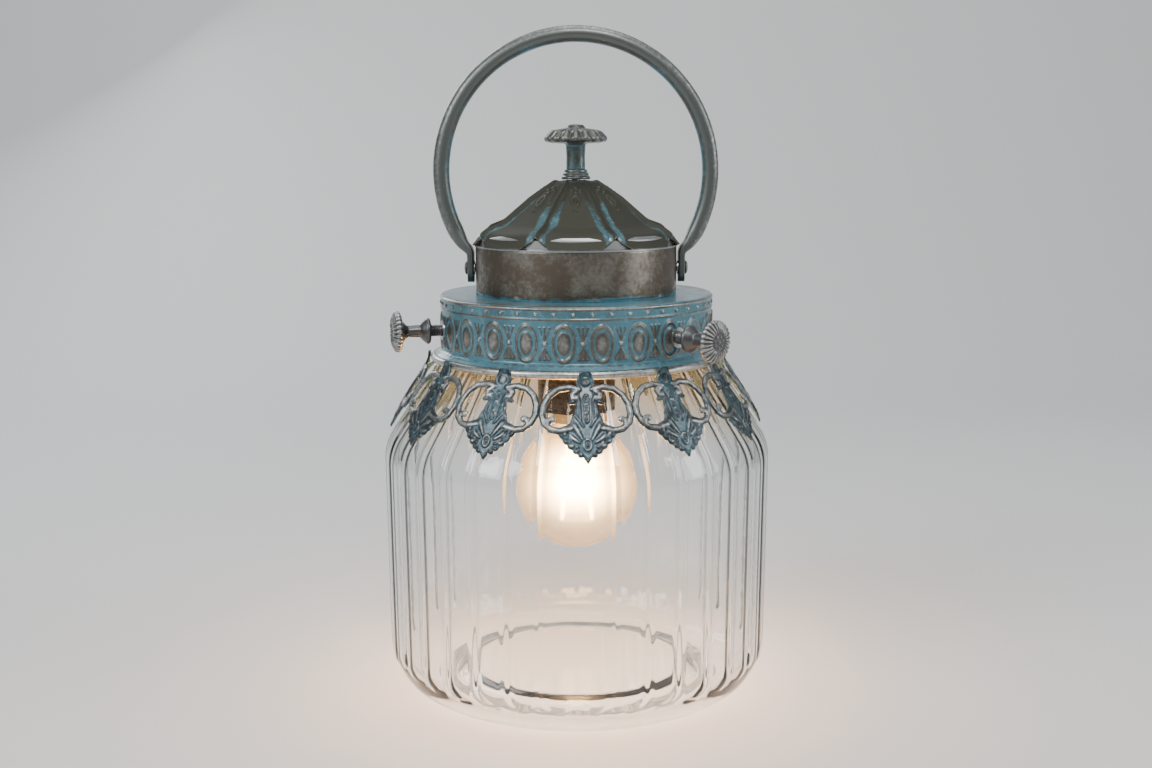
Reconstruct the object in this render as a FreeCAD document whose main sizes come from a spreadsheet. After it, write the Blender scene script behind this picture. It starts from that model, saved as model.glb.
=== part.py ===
"""Electric lantern in the style of an oil lamp: fluted glass jar, embossed head, canopy and bail handle.

Millimetres, +Z up, origin at the centre of the jar's foot, front towards -Y.
An azimuth is measured from the front (-Y) towards +X.
"""
import FreeCAD, Part
import math
import os
import re

import Sketcher
from FreeCAD import Placement
from FreeCAD import Rotation
from FreeCAD import Vector

SIZES = {
    # glass jar
    "jar_radius": 93.3,
    "jar_taper": 1.3,
    "jar_heel_bend": 22.0,
    "jar_shoulder_slope": 1.4238,
    "jar_shoulder_bend": 24.0,
    "jar_neck_length": 20.2,
    "jar_neck_bend": 14.0,
    "jar_rim_height": 188.0,
    "neck_radius": 60.5,
    "glass_wall": 3.5,
    "foot_land": 10.0,
    "foot_push_up": 3.0,
    # collar, ring and skirt
    "seat_thickness": 2.0,
    "seat_width": 5.0,
    "collar_gap": 3.1,
    "collar_wall": 1.6,
    "flange_thickness": 1.5,
    "flange_hole_inset": 8.3,
    "flare_height": 2.4,
    "flare_spread": 3.5,
    "ring_inset": 1.7,
    "ring_height": 3.6,
    "ring_width": 3.0,
    "ring_edge": 0.8,
    "ring_drop": 28.0,
    "skirt_wall": 1.6,
    "skirt_knee_drop": 13.0,
    "skirt_knee_reach": 8.6,
    "skirt_tip_drop": 19.5,
    "skirt_tip_reach": 19.5,
    "pendant_count": 12,
    "pendant_turn": 3.2,
    "pendant_tab": 4.0,
    "gap_top_drop": 1.5,
    "gap_foot_margin": 0.5,
    "gap_foot_share": 1.05,
    "window_foot_rise": 2.0,
    "window_margin": 0.5,
    "eye_radius": 4.6,
    "eye_drop": 5.5,
    "eye_offset": 8.0,
    # thumbscrews
    "screw_drop": 12.5,
    "screw_turn": 45.0,
    "screw_count": 3,
    "screw_tip_gap": 0.3,
    "screw_radius": 2.9,
    "spigot_radius": 1.5,
    "spigot_length": 5.0,
    "bush_radius": 4.6,
    "bush_proud": 1.2,
    "bush_shoulder": 0.4,
    "knob_start_reach": 10.8,
    "knob_flare_radius": 6.3,
    "knob_flare_length": 4.5,
    "knob_stem_radius": 2.7,
    "knob_stem_length": 6.2,
    "knob_hub_length": 3.0,
    "knob_head_radius": 9.9,
    "knob_head_length": 4.8,
    "knob_hub_share": 0.6,
    "knob_edge": 1.0,
    "knob_dome_height": 2.2,
    "knob_dome_share": 1.2,
    "knob_button_height": 0.4,
    "knob_button_share": 0.3,
    "knob_button_top_share": 0.25,
    "knob_flutes": 24,
    "knob_flute_depth": 0.5,
    # drum and chassis
    "drum_radius": 48.3,
    "drum_wall": 1.2,
    "drum_height": 22.5,
    "plate_thickness": 1.5,
    "plate_gap": 0.4,
    "chassis_screw_radius": 1.5,
    "chassis_screw_inset": 4.9,
    "chassis_screw_count": 4,
    "chassis_head_radius": 2.7,
    "chassis_head_height": 1.8,
    # bail
    "bail_tube_radius": 3.9,
    "bail_bow_reach": 15.5,
    "bail_bow_rise": 45.5,
    "bail_tube_rise": 14.5,
    "bail_tab_gap": 0.6,
    "bail_tab_thickness": 3.2,
    "bail_tab_half_width": 5.5,
    "bail_tab_below": 6.9,
    "bail_tab_above": 6.5,
    "bail_tab_foot_share": 0.75,
    "bail_tab_bend_share": 1.05,
    "bail_tab_lap": 1.0,
    "bail_pivot_rise": 15.5,
    "rivet_radius": 1.9,
    "rivet_head_radius": 3.3,
    "rivet_head_height": 1.3,
    "rivet_tail_height": 1.2,
    "rivet_tail_share": 0.9,
    "rivet_dome_share": 0.55,
    "rivet_edge_share": 0.35,
    "rivet_gap": 0.1,
    "washer_radius": 3.2,
    # canopy and finial
    "canopy_rise": 0.8,
    "canopy_overhang": 1.7,
    "canopy_wall": 1.0,
    "canopy_height": 30.6,
    "canopy_cap_radius": 8.0,
    "canopy_dome_share": 0.748,
    "canopy_dome_height": 11.3,
    "canopy_dome_bend": 131.0,
    "canopy_eave_share": 0.868,
    "canopy_eave_height": 8.5,
    "canopy_hollow_bend": 22.0,
    "canopy_edge_bend": 12.7,
    "gore_count": 8,
    "notch_half_width": 9.0,
    "notch_bend_share": 1.8,
    "notch_height": 3.9,
    "locating_wall": 1.2,
    "locating_depth": 6.0,
    "finial_disc_radius": 6.9,
    "finial_disc_height": 2.8,
    "finial_step_radius": 5.5,
    "finial_step_height": 1.8,
    "finial_stem_radius": 4.5,
    "finial_stem_height": 12.5,
    "finial_head_radius": 15.1,
    "finial_under_share": 0.8,
    "finial_dome_share": 1.3,
    "finial_lip_height": 3.0,
    "finial_shoulder_height": 3.6,
    "finial_button_radius": 4.0,
    "finial_button_share": 0.8,
    "finial_button_height": 2.1,
    "stud_radius": 2.0,
    "stud_length": 18.0,
    "stud_below": 6.5,
    "nut_flat_radius": 3.5,
    "nut_height": 3.2,
    "finial_washer_radius": 6.0,
    "finial_washer_height": 0.8,
    # lamp holder and bulb
    "nipple_radius": 5.0,
    "nipple_bore": 4.0,
    "nipple_rise": 9.0,
    "nipple_drop": 20.0,
    "nipple_nut_flat": 7.5,
    "nipple_nut_height": 3.0,
    "holder_radius": 19.0,
    "holder_lap": 4.0,
    "holder_height": 38.0,
    "holder_floor": 8.0,
    "holder_neck_radius": 9.0,
    "holder_shoulder": 8.0,
    "holder_shoulder_bend": 1.6,
    "contact_radius": 4.0,
    "contact_height": 2.0,
    "contact_flare": 1.0,
    "cap_radius": 13.2,
    "cap_wall": 0.8,
    "cap_drop": 6.0,
    "cap_shoulder": 3.0,
    "cap_chamfer": 1.0,
    "tip_radius": 4.5,
    "tip_height": 3.0,
    "tip_share": 0.7,
    "globe_radius": 30.0,
    "globe_wall": 1.0,
    "globe_lap": 2.0,
    "globe_drop": 39.5,
    "stem_radius": 3.0,
    "stem_rise": 15.5,
    "stem_flare_start": 6.0,
    "stem_flare_end": 2.0,
    "filament_radius": 0.8,
    "filament_count": 4,
    "filament_drop": 15.5,
    "filament_length": 38.0,
    "filament_foot_circle": 10.45,
    "filament_lean": 7.0,
    # battery tray and switch
    "cell_radius": 7.25,
    "cell_length": 49.5,
    "cell_nub_radius": 2.7,
    "cell_nub_height": 1.0,
    "cell_gap": 0.5,
    "cell_count": 3,
    "tray_wall": 1.5,
    "tray_floor_rise": 4.2,
    "tray_side_height": 9.0,
    "tray_side_gap": 0.5,
    "spring_length": 5.0,
    "spring_wire": 0.8,
    "contact_plate": 0.5,
    "contact_plate_drop": 1.0,
    "switch_length": 15.0,
    "switch_depth": 6.0,
    "switch_height": 7.0,
    "switch_rise": 3.0,
    "slider_length": 5.0,
    "slider_width": 3.0,
    "slider_height": 4.0,
    "slider_travel": 4.0,
    "slider_sink": 1.5,
    "slider_gap": 0.3,
    "wire_radius": 0.9,
    "wire_offset": 1.8,
    # fits
    "fit_gap": 0.05,
    "close_gap": 0.02,
    "cut_margin": 5.0,
}

PLACES = {
    # heights and radii that follow from the sizes
    "jar_heel_radius": "jar_radius - jar_taper",
    "jar_neck_height": "jar_rim_height - jar_neck_length",
    "jar_shoulder_height": "jar_neck_height - (jar_radius - neck_radius) * jar_shoulder_slope",
    "foot_inner_radius": "jar_heel_radius - jar_heel_bend - foot_land",
    "flange_hole_radius": "drum_radius - flange_hole_inset",
    "ring_bottom_height": "jar_rim_height - ring_drop",
    "skirt_knee_height": "ring_bottom_height - skirt_knee_drop",
    "skirt_tip_height": "skirt_knee_height - skirt_tip_drop",
    "eye_height": "skirt_knee_height - eye_drop",
    "screw_height": "jar_rim_height - screw_drop",
    "knob_start": "neck_radius + knob_start_reach",
    "chassis_screw_circle": "drum_radius - chassis_screw_inset",
    "bail_pivot_height": "jar_rim_height + bail_pivot_rise",
    "bail_bow_radius": "drum_radius + bail_bow_reach",
    "bail_bow_height": "bail_pivot_height + bail_bow_rise",
    "bail_tube_end": "bail_pivot_height + bail_tube_rise",
    "canopy_radius": "drum_radius + canopy_overhang",
    "canopy_dome_radius": "canopy_radius * canopy_dome_share",
    "canopy_eave_radius": "canopy_radius * canopy_eave_share",
    "nipple_top": "jar_rim_height + nipple_rise",
    "nipple_bottom": "jar_rim_height - nipple_drop",
    "holder_top": "nipple_bottom + holder_lap",
    "holder_bottom": "holder_top - holder_height",
    "cap_bottom": "holder_bottom - cap_drop",
    "globe_neck_top": "holder_bottom + globe_lap",
    "globe_centre": "globe_neck_top - globe_drop",
    "stem_bottom": "globe_centre + stem_rise",
    "filament_bottom": "globe_centre - filament_drop",
    "cell_pitch": "2 * cell_radius + cell_gap",
}

# share of the half gap's width and drop below the knee, down one side of the gap between two pendants
LOWER_GAP = [(0.13, 6.0), (0.34, 10.5), (0.62, 15.0)]
# share of the half pitch and height, and the size that the height is counted from, up one side of a window
WINDOW = [(0.3, "skirt_knee_height + 4"), (0.7, "ring_bottom_height - 5")]
FULL_TURN = 360.0

os.makedirs("parts", exist_ok=True)
doc = FreeCAD.newDocument("lantern")
sheet = doc.addObject("Spreadsheet::Sheet", "Sizes")
cells = [(alias, str(number)) for alias, number in SIZES.items()]
cells += [(alias, f"={text}") for alias, text in PLACES.items()]
for row, (alias, content) in enumerate(cells, start=1):
    sheet.set(f"A{row}", alias)
    sheet.set(f"B{row}", content)
    sheet.setAlias(f"B{row}", alias)
doc.recompute()

parts = []
cuts = []


def formula(text):
    """The same expression with every size word pointing at its cell in the sheet."""
    def cell(word):
        name = word.group()
        return f"Sizes.{name}" if name in SIZES or name in PLACES else name

    return re.sub(r"[a-z_]+", cell, text)


def value(text):
    """The number an expression of size words stands for."""
    return float(sheet.evalExpression(text))


def keep(item, label):
    """Name a finished sub-part and list it for export."""
    item.Label = label
    parts.append(item)
    return item


def turn_to(item, azimuth):
    """Turn a piece about the lamp's axis by a bound azimuth."""
    item.Placement = Placement(Vector(0, 0, 0), Rotation(Vector(0, 0, 1), 1))
    item.setExpression("Placement.Rotation.Angle", formula(azimuth))


# ---- sketches -------------------------------------------------------------------------------------------


def new_body(name):
    return doc.addObject("PartDesign::Body", name)


def new_sketch(body, name, role="XZ_Plane", turn="0", offset="0"):
    """A sketch on one of the body's own planes, turned about its upright axis and shifted along its normal."""
    sketch = body.newObject("Sketcher::SketchObject", name)
    plane = [item for item in body.Origin.OriginFeatures if item.Role == role][0]
    sketch.AttachmentSupport = [(plane, "")]
    sketch.MapMode = "FlatFace"
    sketch.AttachmentOffset = Placement(Vector(0, 0, 0), Rotation(Vector(0, 1, 0), 0))
    if turn != "0":
        sketch.AttachmentOffset = Placement(Vector(0, 0, 0), Rotation(Vector(0, 1, 0), 1))
        sketch.setExpression("AttachmentOffset.Rotation.Angle", formula(turn))
    if offset != "0":
        sketch.setExpression("AttachmentOffset.Base.z", formula(offset))
    return sketch


def arc_centre(start, end, radius, side):
    """Centre of the arc of a radius through two points, to the left (+1) or right (-1) of the way along."""
    middle = (start + end) / 2
    chord = end - start
    across = Vector(-chord.y, chord.x, 0).normalize()
    reach = math.sqrt(max(radius ** 2 - (chord.Length / 2) ** 2, 0))
    return middle + across * (side * reach)


def outline(sketch, points):
    """Closed chain through (across, up) points. A point may add (bend, side): an arc leads to the next one."""
    spots = [Vector(value(point[0]), value(point[1]), 0) for point in points]
    ends = []
    for index, point in enumerate(points):
        start = spots[index]
        end = spots[(index + 1) % len(points)]
        if len(point) == 2:
            edge = sketch.addGeometry(Part.LineSegment(start, end), False)
            ends.append((edge, 1, 2))
            continue
        bend, side = point[2]
        centre = arc_centre(start, end, value(bend), side)
        first, last = (start, end) if side > 0 else (end, start)
        begin = math.atan2(first.y - centre.y, first.x - centre.x)
        finish = math.atan2(last.y - centre.y, last.x - centre.x)
        circle = Part.Circle(centre, Vector(0, 0, 1), value(bend))
        edge = sketch.addGeometry(Part.ArcOfCircle(circle, begin, finish), False)
        ends.append((edge, 1, 2) if side > 0 else (edge, 2, 1))
        size = sketch.addConstraint(Sketcher.Constraint("Radius", edge, value(bend)))
        sketch.setExpression(f"Constraints[{size}]", formula(bend))
    for index, (edge, _, last) in enumerate(ends):
        following, first, _ = ends[(index + 1) % len(ends)]
        sketch.addConstraint(Sketcher.Constraint("Coincident", edge, last, following, first))
    for (edge, first, _), point, spot in zip(ends, points, spots):
        for kind, text, number in (("DistanceX", point[0], spot.x), ("DistanceY", point[1], spot.y)):
            size = sketch.addConstraint(Sketcher.Constraint(kind, -1, 1, edge, first, number))
            sketch.setExpression(f"Constraints[{size}]", formula(text))


def circles(sketch, spots):
    """Circles given as (across, up, radius)."""
    for across, up, radius in spots:
        round_edge = Part.Circle(Vector(value(across), value(up), 0), Vector(0, 0, 1), value(radius))
        edge = sketch.addGeometry(round_edge, False)
        for kind, text in (("DistanceX", across), ("DistanceY", up)):
            size = sketch.addConstraint(Sketcher.Constraint(kind, -1, 1, edge, 3, value(text)))
            sketch.setExpression(f"Constraints[{size}]", formula(text))
        size = sketch.addConstraint(Sketcher.Constraint("Radius", edge, value(radius)))
        sketch.setExpression(f"Constraints[{size}]", formula(radius))


def rectangle(sketch, left, right, low, high):
    outline(sketch, [(left, low), (right, low), (right, high), (left, high)])


def hexagon(sketch, flat):
    """Hexagon about the origin from the distance to its flats."""
    corner = f"({flat}) / cos(30)"
    outline(sketch, [(f"{corner} * cos({60 * k})", f"{corner} * sin({60 * k})") for k in range(6)])


# ---- features -------------------------------------------------------------------------------------------


def revolve(body, points, name="profile"):
    """Turn an outline of (radius, height) points about the upright axis."""
    sketch = new_sketch(body, body.Name + "_" + name)
    outline(sketch, points)
    turned = body.newObject("PartDesign::Revolution", body.Name + "_turned")
    turned.Profile = sketch
    turned.ReferenceAxis = (sketch, ["V_Axis"])
    turned.Angle = FULL_TURN
    return turned


def pad(body, sketch, length, middle=False, reverse=False):
    feature = body.newObject("PartDesign::Pad", sketch.Name + "_pad")
    feature.Profile = sketch
    feature.Midplane = middle
    feature.Reversed = reverse
    feature.setExpression("Length", formula(length))
    return feature


def pocket(body, sketch, length, middle=False, reverse=False):
    """Cut a sketch's shape; the check at the end makes sure that it took something away."""
    before = body.Tip
    feature = body.newObject("PartDesign::Pocket", sketch.Name + "_cut")
    feature.Profile = sketch
    feature.Midplane = middle
    feature.Reversed = reverse
    feature.setExpression("Length", formula(length))
    cuts.append((before, feature))
    return feature


def around(body, feature, count):
    """Repeat a feature evenly about the upright axis."""
    axis = [item for item in body.Origin.OriginFeatures if item.Role == "Z_Axis"][0]
    pattern = body.newObject("PartDesign::PolarPattern", feature.Name + "_ring")
    pattern.Originals = [feature]
    pattern.Axis = (axis, [""])
    pattern.Angle = FULL_TURN
    pattern.setExpression("Occurrences", formula(count))
    body.Tip = pattern
    return pattern


def in_a_row(body, features, role, pitch, count):
    """Repeat features along one of the body's axes, centred by the sketches they start from."""
    axis = [item for item in body.Origin.OriginFeatures if item.Role == role][0]
    pattern = body.newObject("PartDesign::LinearPattern", features[0].Name + "_row")
    pattern.Originals = features
    pattern.Direction = (axis, [""])
    pattern.setExpression("Length", formula(f"({pitch}) * ({count} - 1)"))
    pattern.setExpression("Occurrences", formula(count))
    body.Tip = pattern
    return pattern


def ring_profile(inner, outer, low, high):
    return [(inner, low), (outer, low), (outer, high), (inner, high)]


# ---- heights and radii that several pieces share ----------------------------------------------------------

FLANGE_UNDER = "(jar_rim_height + seat_thickness)"
FLANGE_TOP = f"({FLANGE_UNDER} + flange_thickness)"
COLLAR_INNER = "(neck_radius + collar_gap)"
COLLAR_OUTER = f"({COLLAR_INNER} + collar_wall)"
RING_TOP = "(ring_bottom_height + ring_height)"
RING_INNER = f"({COLLAR_OUTER} + flare_spread - ring_inset)"
RING_OUTER = f"({RING_INNER} + ring_width)"
DRUM_TOP = f"({FLANGE_TOP} + drum_height)"
DRUM_INNER = "(drum_radius - drum_wall)"
PLATE_TOP = f"({FLANGE_TOP} + plate_thickness)"
CANOPY_BOTTOM = f"({DRUM_TOP} + canopy_rise)"
CANOPY_TOP = f"({CANOPY_BOTTOM} + canopy_height)"
FLOOR_UNDER = f"({PLATE_TOP} + tray_floor_rise)"
FLOOR_TOP = f"({FLOOR_UNDER} + tray_wall)"
CELL_AXIS = f"({FLOOR_TOP} + cell_radius)"
TAB_INNER = "(drum_radius + bail_tab_gap)"
TAB_OUTER = f"({TAB_INNER} + bail_tab_thickness)"


# ---- jar ------------------------------------------------------------------------------------------------


def edge_circles(shape, radius, height):
    """Names of the round edges of one radius at one height."""
    found = []
    for number, edge in enumerate(shape.Edges, start=1):
        curve = edge.Curve
        if not isinstance(curve, Part.Circle):
            continue
        if abs(curve.Radius - radius) < 0.01 and abs(curve.Center.z - height) < 0.01:
            found.append(f"Edge{number}")
    return found


def make_jar():
    """Turned glass blank, rounded at heel, shoulder and neck, then hollowed from its open rim."""
    body = new_body("jar")
    turned = revolve(body, [
        ("0", "foot_push_up"),
        ("foot_inner_radius - foot_push_up", "foot_push_up"),
        ("foot_inner_radius", "0"),
        ("jar_heel_radius", "0"),
        ("jar_radius", "jar_shoulder_height"),
        ("neck_radius", "jar_neck_height"),
        ("neck_radius", "jar_rim_height"),
        ("0", "jar_rim_height"),
    ])
    doc.recompute()
    latest = turned
    for radius, height, bend in (
        ("jar_heel_radius", "0", "jar_heel_bend"),
        ("jar_radius", "jar_shoulder_height", "jar_shoulder_bend"),
        ("neck_radius", "jar_neck_height", "jar_neck_bend"),
    ):
        rounded = body.newObject("PartDesign::Fillet", bend + "_round")
        rounded.Base = (latest, edge_circles(latest.Shape, value(radius), value(height)))
        rounded.setExpression("Radius", formula(bend))
        doc.recompute()
        latest = rounded
    hollow = body.newObject("PartDesign::Thickness", "jar_hollow")
    faces = latest.Shape.Faces
    rim = max(range(len(faces)), key=lambda number: faces[number].CenterOfMass.z)
    hollow.Base = (latest, [f"Face{rim + 1}"])
    hollow.setExpression("Value", formula("glass_wall"))
    hollow.Reversed = True
    cuts.append((latest, hollow))
    keep(body, "glass_jar")


def make_rim_seat():
    body = new_body("seat")
    revolve(body, ring_profile("neck_radius - seat_width", "neck_radius", "jar_rim_height", FLANGE_UNDER))
    keep(body, "rim_seat")


# ---- collar, ring, skirt --------------------------------------------------------------------------------


def make_collar():
    """Spun cap: flange with a centre hole, straight band, lower edge flared onto the ring."""
    body = new_body("collar")
    revolve(body, [
        ("flange_hole_radius", FLANGE_UNDER),
        (COLLAR_INNER, FLANGE_UNDER),
        (COLLAR_INNER, f"{RING_TOP} + flare_height"),
        (RING_INNER, RING_TOP),
        (f"{RING_INNER} + collar_wall", RING_TOP),
        (COLLAR_OUTER, f"{RING_TOP} + flare_height"),
        (COLLAR_OUTER, FLANGE_TOP),
        ("flange_hole_radius", FLANGE_TOP),
    ])
    holes = new_sketch(body, "bush_hole", turn="screw_turn")
    circles(holes, [("0", "screw_height", "bush_radius + close_gap")])
    around(body, pocket(body, holes, f"{COLLAR_OUTER} + collar_wall", reverse=True), "screw_count")
    screws = new_sketch(body, "chassis_hole", role="XY_Plane", offset=FLANGE_UNDER)
    circles(screws, [("0", "chassis_screw_circle", "chassis_screw_radius + close_gap")])
    around(body, pocket(body, screws, "flange_thickness * 2", reverse=True), "chassis_screw_count")
    keep(body, "collar_band")


def make_ring():
    body = new_body("ring")
    revolve(body, [
        (RING_INNER, "ring_bottom_height"),
        (f"{RING_OUTER} - ring_edge", "ring_bottom_height", ("ring_edge", 1)),
        (RING_OUTER, "ring_bottom_height + ring_edge"),
        (RING_OUTER, f"{RING_TOP} - ring_edge", ("ring_edge", 1)),
        (f"{RING_OUTER} - ring_edge", RING_TOP),
        (RING_INNER, RING_TOP),
    ])
    keep(body, "skirt_ring")


def make_skirt():
    """Thin shell lapped on the ring, kneed over the glass, then pierced into twelve pendants."""
    knee = f"({RING_OUTER} + skirt_knee_reach)"
    tip = f"({RING_OUTER} + skirt_tip_reach)"
    lap = f"({RING_TOP} - ring_edge)"
    body = new_body("skirt")
    revolve(body, [
        (RING_OUTER, lap),
        (RING_OUTER, "ring_bottom_height"),
        (knee, "skirt_knee_height"),
        (tip, "skirt_tip_height"),
        (f"{tip} + skirt_wall", "skirt_tip_height"),
        (f"{knee} + skirt_wall", "skirt_knee_height"),
        (f"{RING_OUTER} + skirt_wall", "ring_bottom_height"),
        (f"{RING_OUTER} + skirt_wall", lap),
    ])
    between = "pendant_turn + 180 / pendant_count"
    pitch = f"({RING_OUTER} * tan(180 / pendant_count))"
    low = new_sketch(body, "lower_gap", turn=between)
    wide = f"(({tip} + skirt_wall) * tan(180 / pendant_count))"
    left = [(f"-{wide} * {share}", f"skirt_knee_height - {drop}") for share, drop in LOWER_GAP]
    right = [(f"{wide} * {share}", f"skirt_knee_height - {drop}") for share, drop in LOWER_GAP[::-1]]
    foot = "skirt_tip_height - gap_foot_margin"
    outline(low, [("0", "skirt_knee_height - gap_top_drop")] + left + [
        (f"-{wide} * gap_foot_share", foot),
        (f"{wide} * gap_foot_share", foot),
    ] + right)
    around(body, pocket(body, low, f"{tip} + skirt_wall * 2", reverse=True), "pendant_count")
    high = new_sketch(body, "upper_gap", turn=between)
    right = [(f"{pitch} * {share}", height) for share, height in WINDOW]
    left = [(f"-{pitch} * {share}", height) for share, height in WINDOW[::-1]]
    beside_tab = f"({pitch} - pendant_tab)"
    outline(high, [("0", "skirt_knee_height + window_foot_rise")] + right + [
        (beside_tab, "ring_bottom_height - window_margin"),
        (beside_tab, f"{RING_TOP} + window_margin"),
        (f"-{beside_tab}", f"{RING_TOP} + window_margin"),
        (f"-{beside_tab}", "ring_bottom_height - window_margin"),
    ] + left)
    around(body, pocket(body, high, f"{tip} + skirt_wall * 2", reverse=True), "pendant_count")
    eyes = new_sketch(body, "scroll_eye", turn="pendant_turn")
    circles(eyes, [("eye_offset", "eye_height", "eye_radius"), ("-eye_offset", "eye_height", "eye_radius")])
    around(body, pocket(body, eyes, f"{tip} + skirt_wall * 2", reverse=True), "pendant_count")
    keep(body, "filigree_skirt")


# ---- thumbscrews ----------------------------------------------------------------------------------------

BUSH_INNER = f"({COLLAR_INNER} - bush_proud)"
SHANK_TIP = "(neck_radius + screw_tip_gap)"
SHANK_END = "(knob_start - screw_tip_gap)"
FLARE_END = "(knob_start + knob_flare_length)"
STEM_END = f"({FLARE_END} + knob_stem_length)"
HUB_END = f"({STEM_END} + knob_hub_length)"
HEAD_END = f"({HUB_END} + knob_head_length)"
SCREWS = {"right": "screw_turn", "left": "screw_turn - 120", "back": "screw_turn + 120"}


def lay_radially(body, azimuth):
    """Lay a piece that was turned about Z along the radial direction of an azimuth, at the screws' height."""
    angle = math.radians(value(azimuth))
    outwards = Vector(math.sin(angle), -math.cos(angle), 0)
    body.Placement = Placement(Vector(0, 0, value("screw_height")), Rotation(Vector(0, 0, 1), outwards))
    body.setExpression("Placement.Base.z", formula("screw_height"))


def make_bushes():
    body = new_body("bushes")
    ring = new_sketch(body, "bush_ring", offset=BUSH_INNER)
    circles(ring, [("0", "screw_height", "bush_radius"), ("0", "screw_height", "screw_radius + fit_gap")])
    length = f"{COLLAR_OUTER} + bush_shoulder - {BUSH_INNER}"
    around(body, pad(body, ring, length), "screw_count")
    turn_to(body, "screw_turn")
    keep(body, "screw_bushes")


def make_screw(side, azimuth):
    shank = new_body(f"shank_{side}")
    revolve(shank, [
        ("0", SHANK_TIP),
        ("screw_radius", SHANK_TIP),
        ("screw_radius", SHANK_END),
        ("spigot_radius", SHANK_END),
        ("spigot_radius", f"{SHANK_END} + spigot_length"),
        ("0", f"{SHANK_END} + spigot_length"),
    ])
    lay_radially(shank, azimuth)
    keep(shank, f"screw_{side}_shank")
    knob = new_body(f"knob_{side}")
    bore = "(spigot_radius + fit_gap)"
    bore_end = f"({SHANK_END} + spigot_length + screw_tip_gap)"
    revolve(knob, [
        (bore, "knob_start"),
        ("knob_flare_radius", "knob_start"),
        ("knob_stem_radius", FLARE_END),
        ("knob_stem_radius", STEM_END),
        ("knob_head_radius * knob_hub_share", HUB_END),
        ("knob_head_radius", f"{HUB_END} + knob_edge"),
        ("knob_head_radius", f"{HEAD_END} - knob_dome_height", ("knob_head_radius * knob_dome_share", 1)),
        ("knob_head_radius * knob_button_share", f"{HEAD_END} - knob_button_height"),
        ("knob_head_radius * knob_button_top_share", HEAD_END),
        ("0", HEAD_END),
        ("0", bore_end),
        (bore, bore_end),
    ])
    flute = new_sketch(knob, f"flute_{side}", role="XY_Plane", offset=HUB_END)
    circles(flute, [("knob_head_radius + knob_flute_depth", "0", "knob_flute_depth * 2")])
    around(knob, pocket(knob, flute, "knob_head_length", reverse=True), "knob_flutes")
    lay_radially(knob, azimuth)
    keep(knob, f"screw_{side}_knob")


# ---- drum, chassis, bail --------------------------------------------------------------------------------


def make_drum():
    body = new_body("drum_shell")
    revolve(body, ring_profile(DRUM_INNER, "drum_radius", FLANGE_TOP, DRUM_TOP))
    holes = new_sketch(body, "rivet_hole", role="YZ_Plane")
    circles(holes, [("0", "bail_pivot_height", "rivet_radius + close_gap")])
    pocket(body, holes, "drum_radius * 3", middle=True)
    keep(body, "drum")


def make_chassis():
    body = new_body("chassis")
    revolve(body, ring_profile("nipple_radius + fit_gap", f"{DRUM_INNER} - plate_gap", FLANGE_TOP, PLATE_TOP))
    holes = new_sketch(body, "plate_hole", role="XY_Plane", offset=FLANGE_TOP)
    circles(holes, [("0", "chassis_screw_circle", "chassis_screw_radius + close_gap")])
    around(body, pocket(body, holes, "plate_thickness * 2", reverse=True), "chassis_screw_count")
    keep(body, "chassis_plate")

    body = new_body("chassis_fixings")
    shank = new_sketch(body, "fixing_shank", role="XY_Plane", offset=FLANGE_UNDER)
    circles(shank, [("0", "chassis_screw_circle", "chassis_screw_radius")])
    around(body, pad(body, shank, f"{PLATE_TOP} - {FLANGE_UNDER}"), "chassis_screw_count")
    head = new_sketch(body, "fixing_head", role="XY_Plane", offset=PLATE_TOP)
    circles(head, [("0", "chassis_screw_circle", "chassis_head_radius")])
    around(body, pad(body, head, "chassis_head_height"), "chassis_screw_count")
    keep(body, "chassis_screws")


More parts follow.
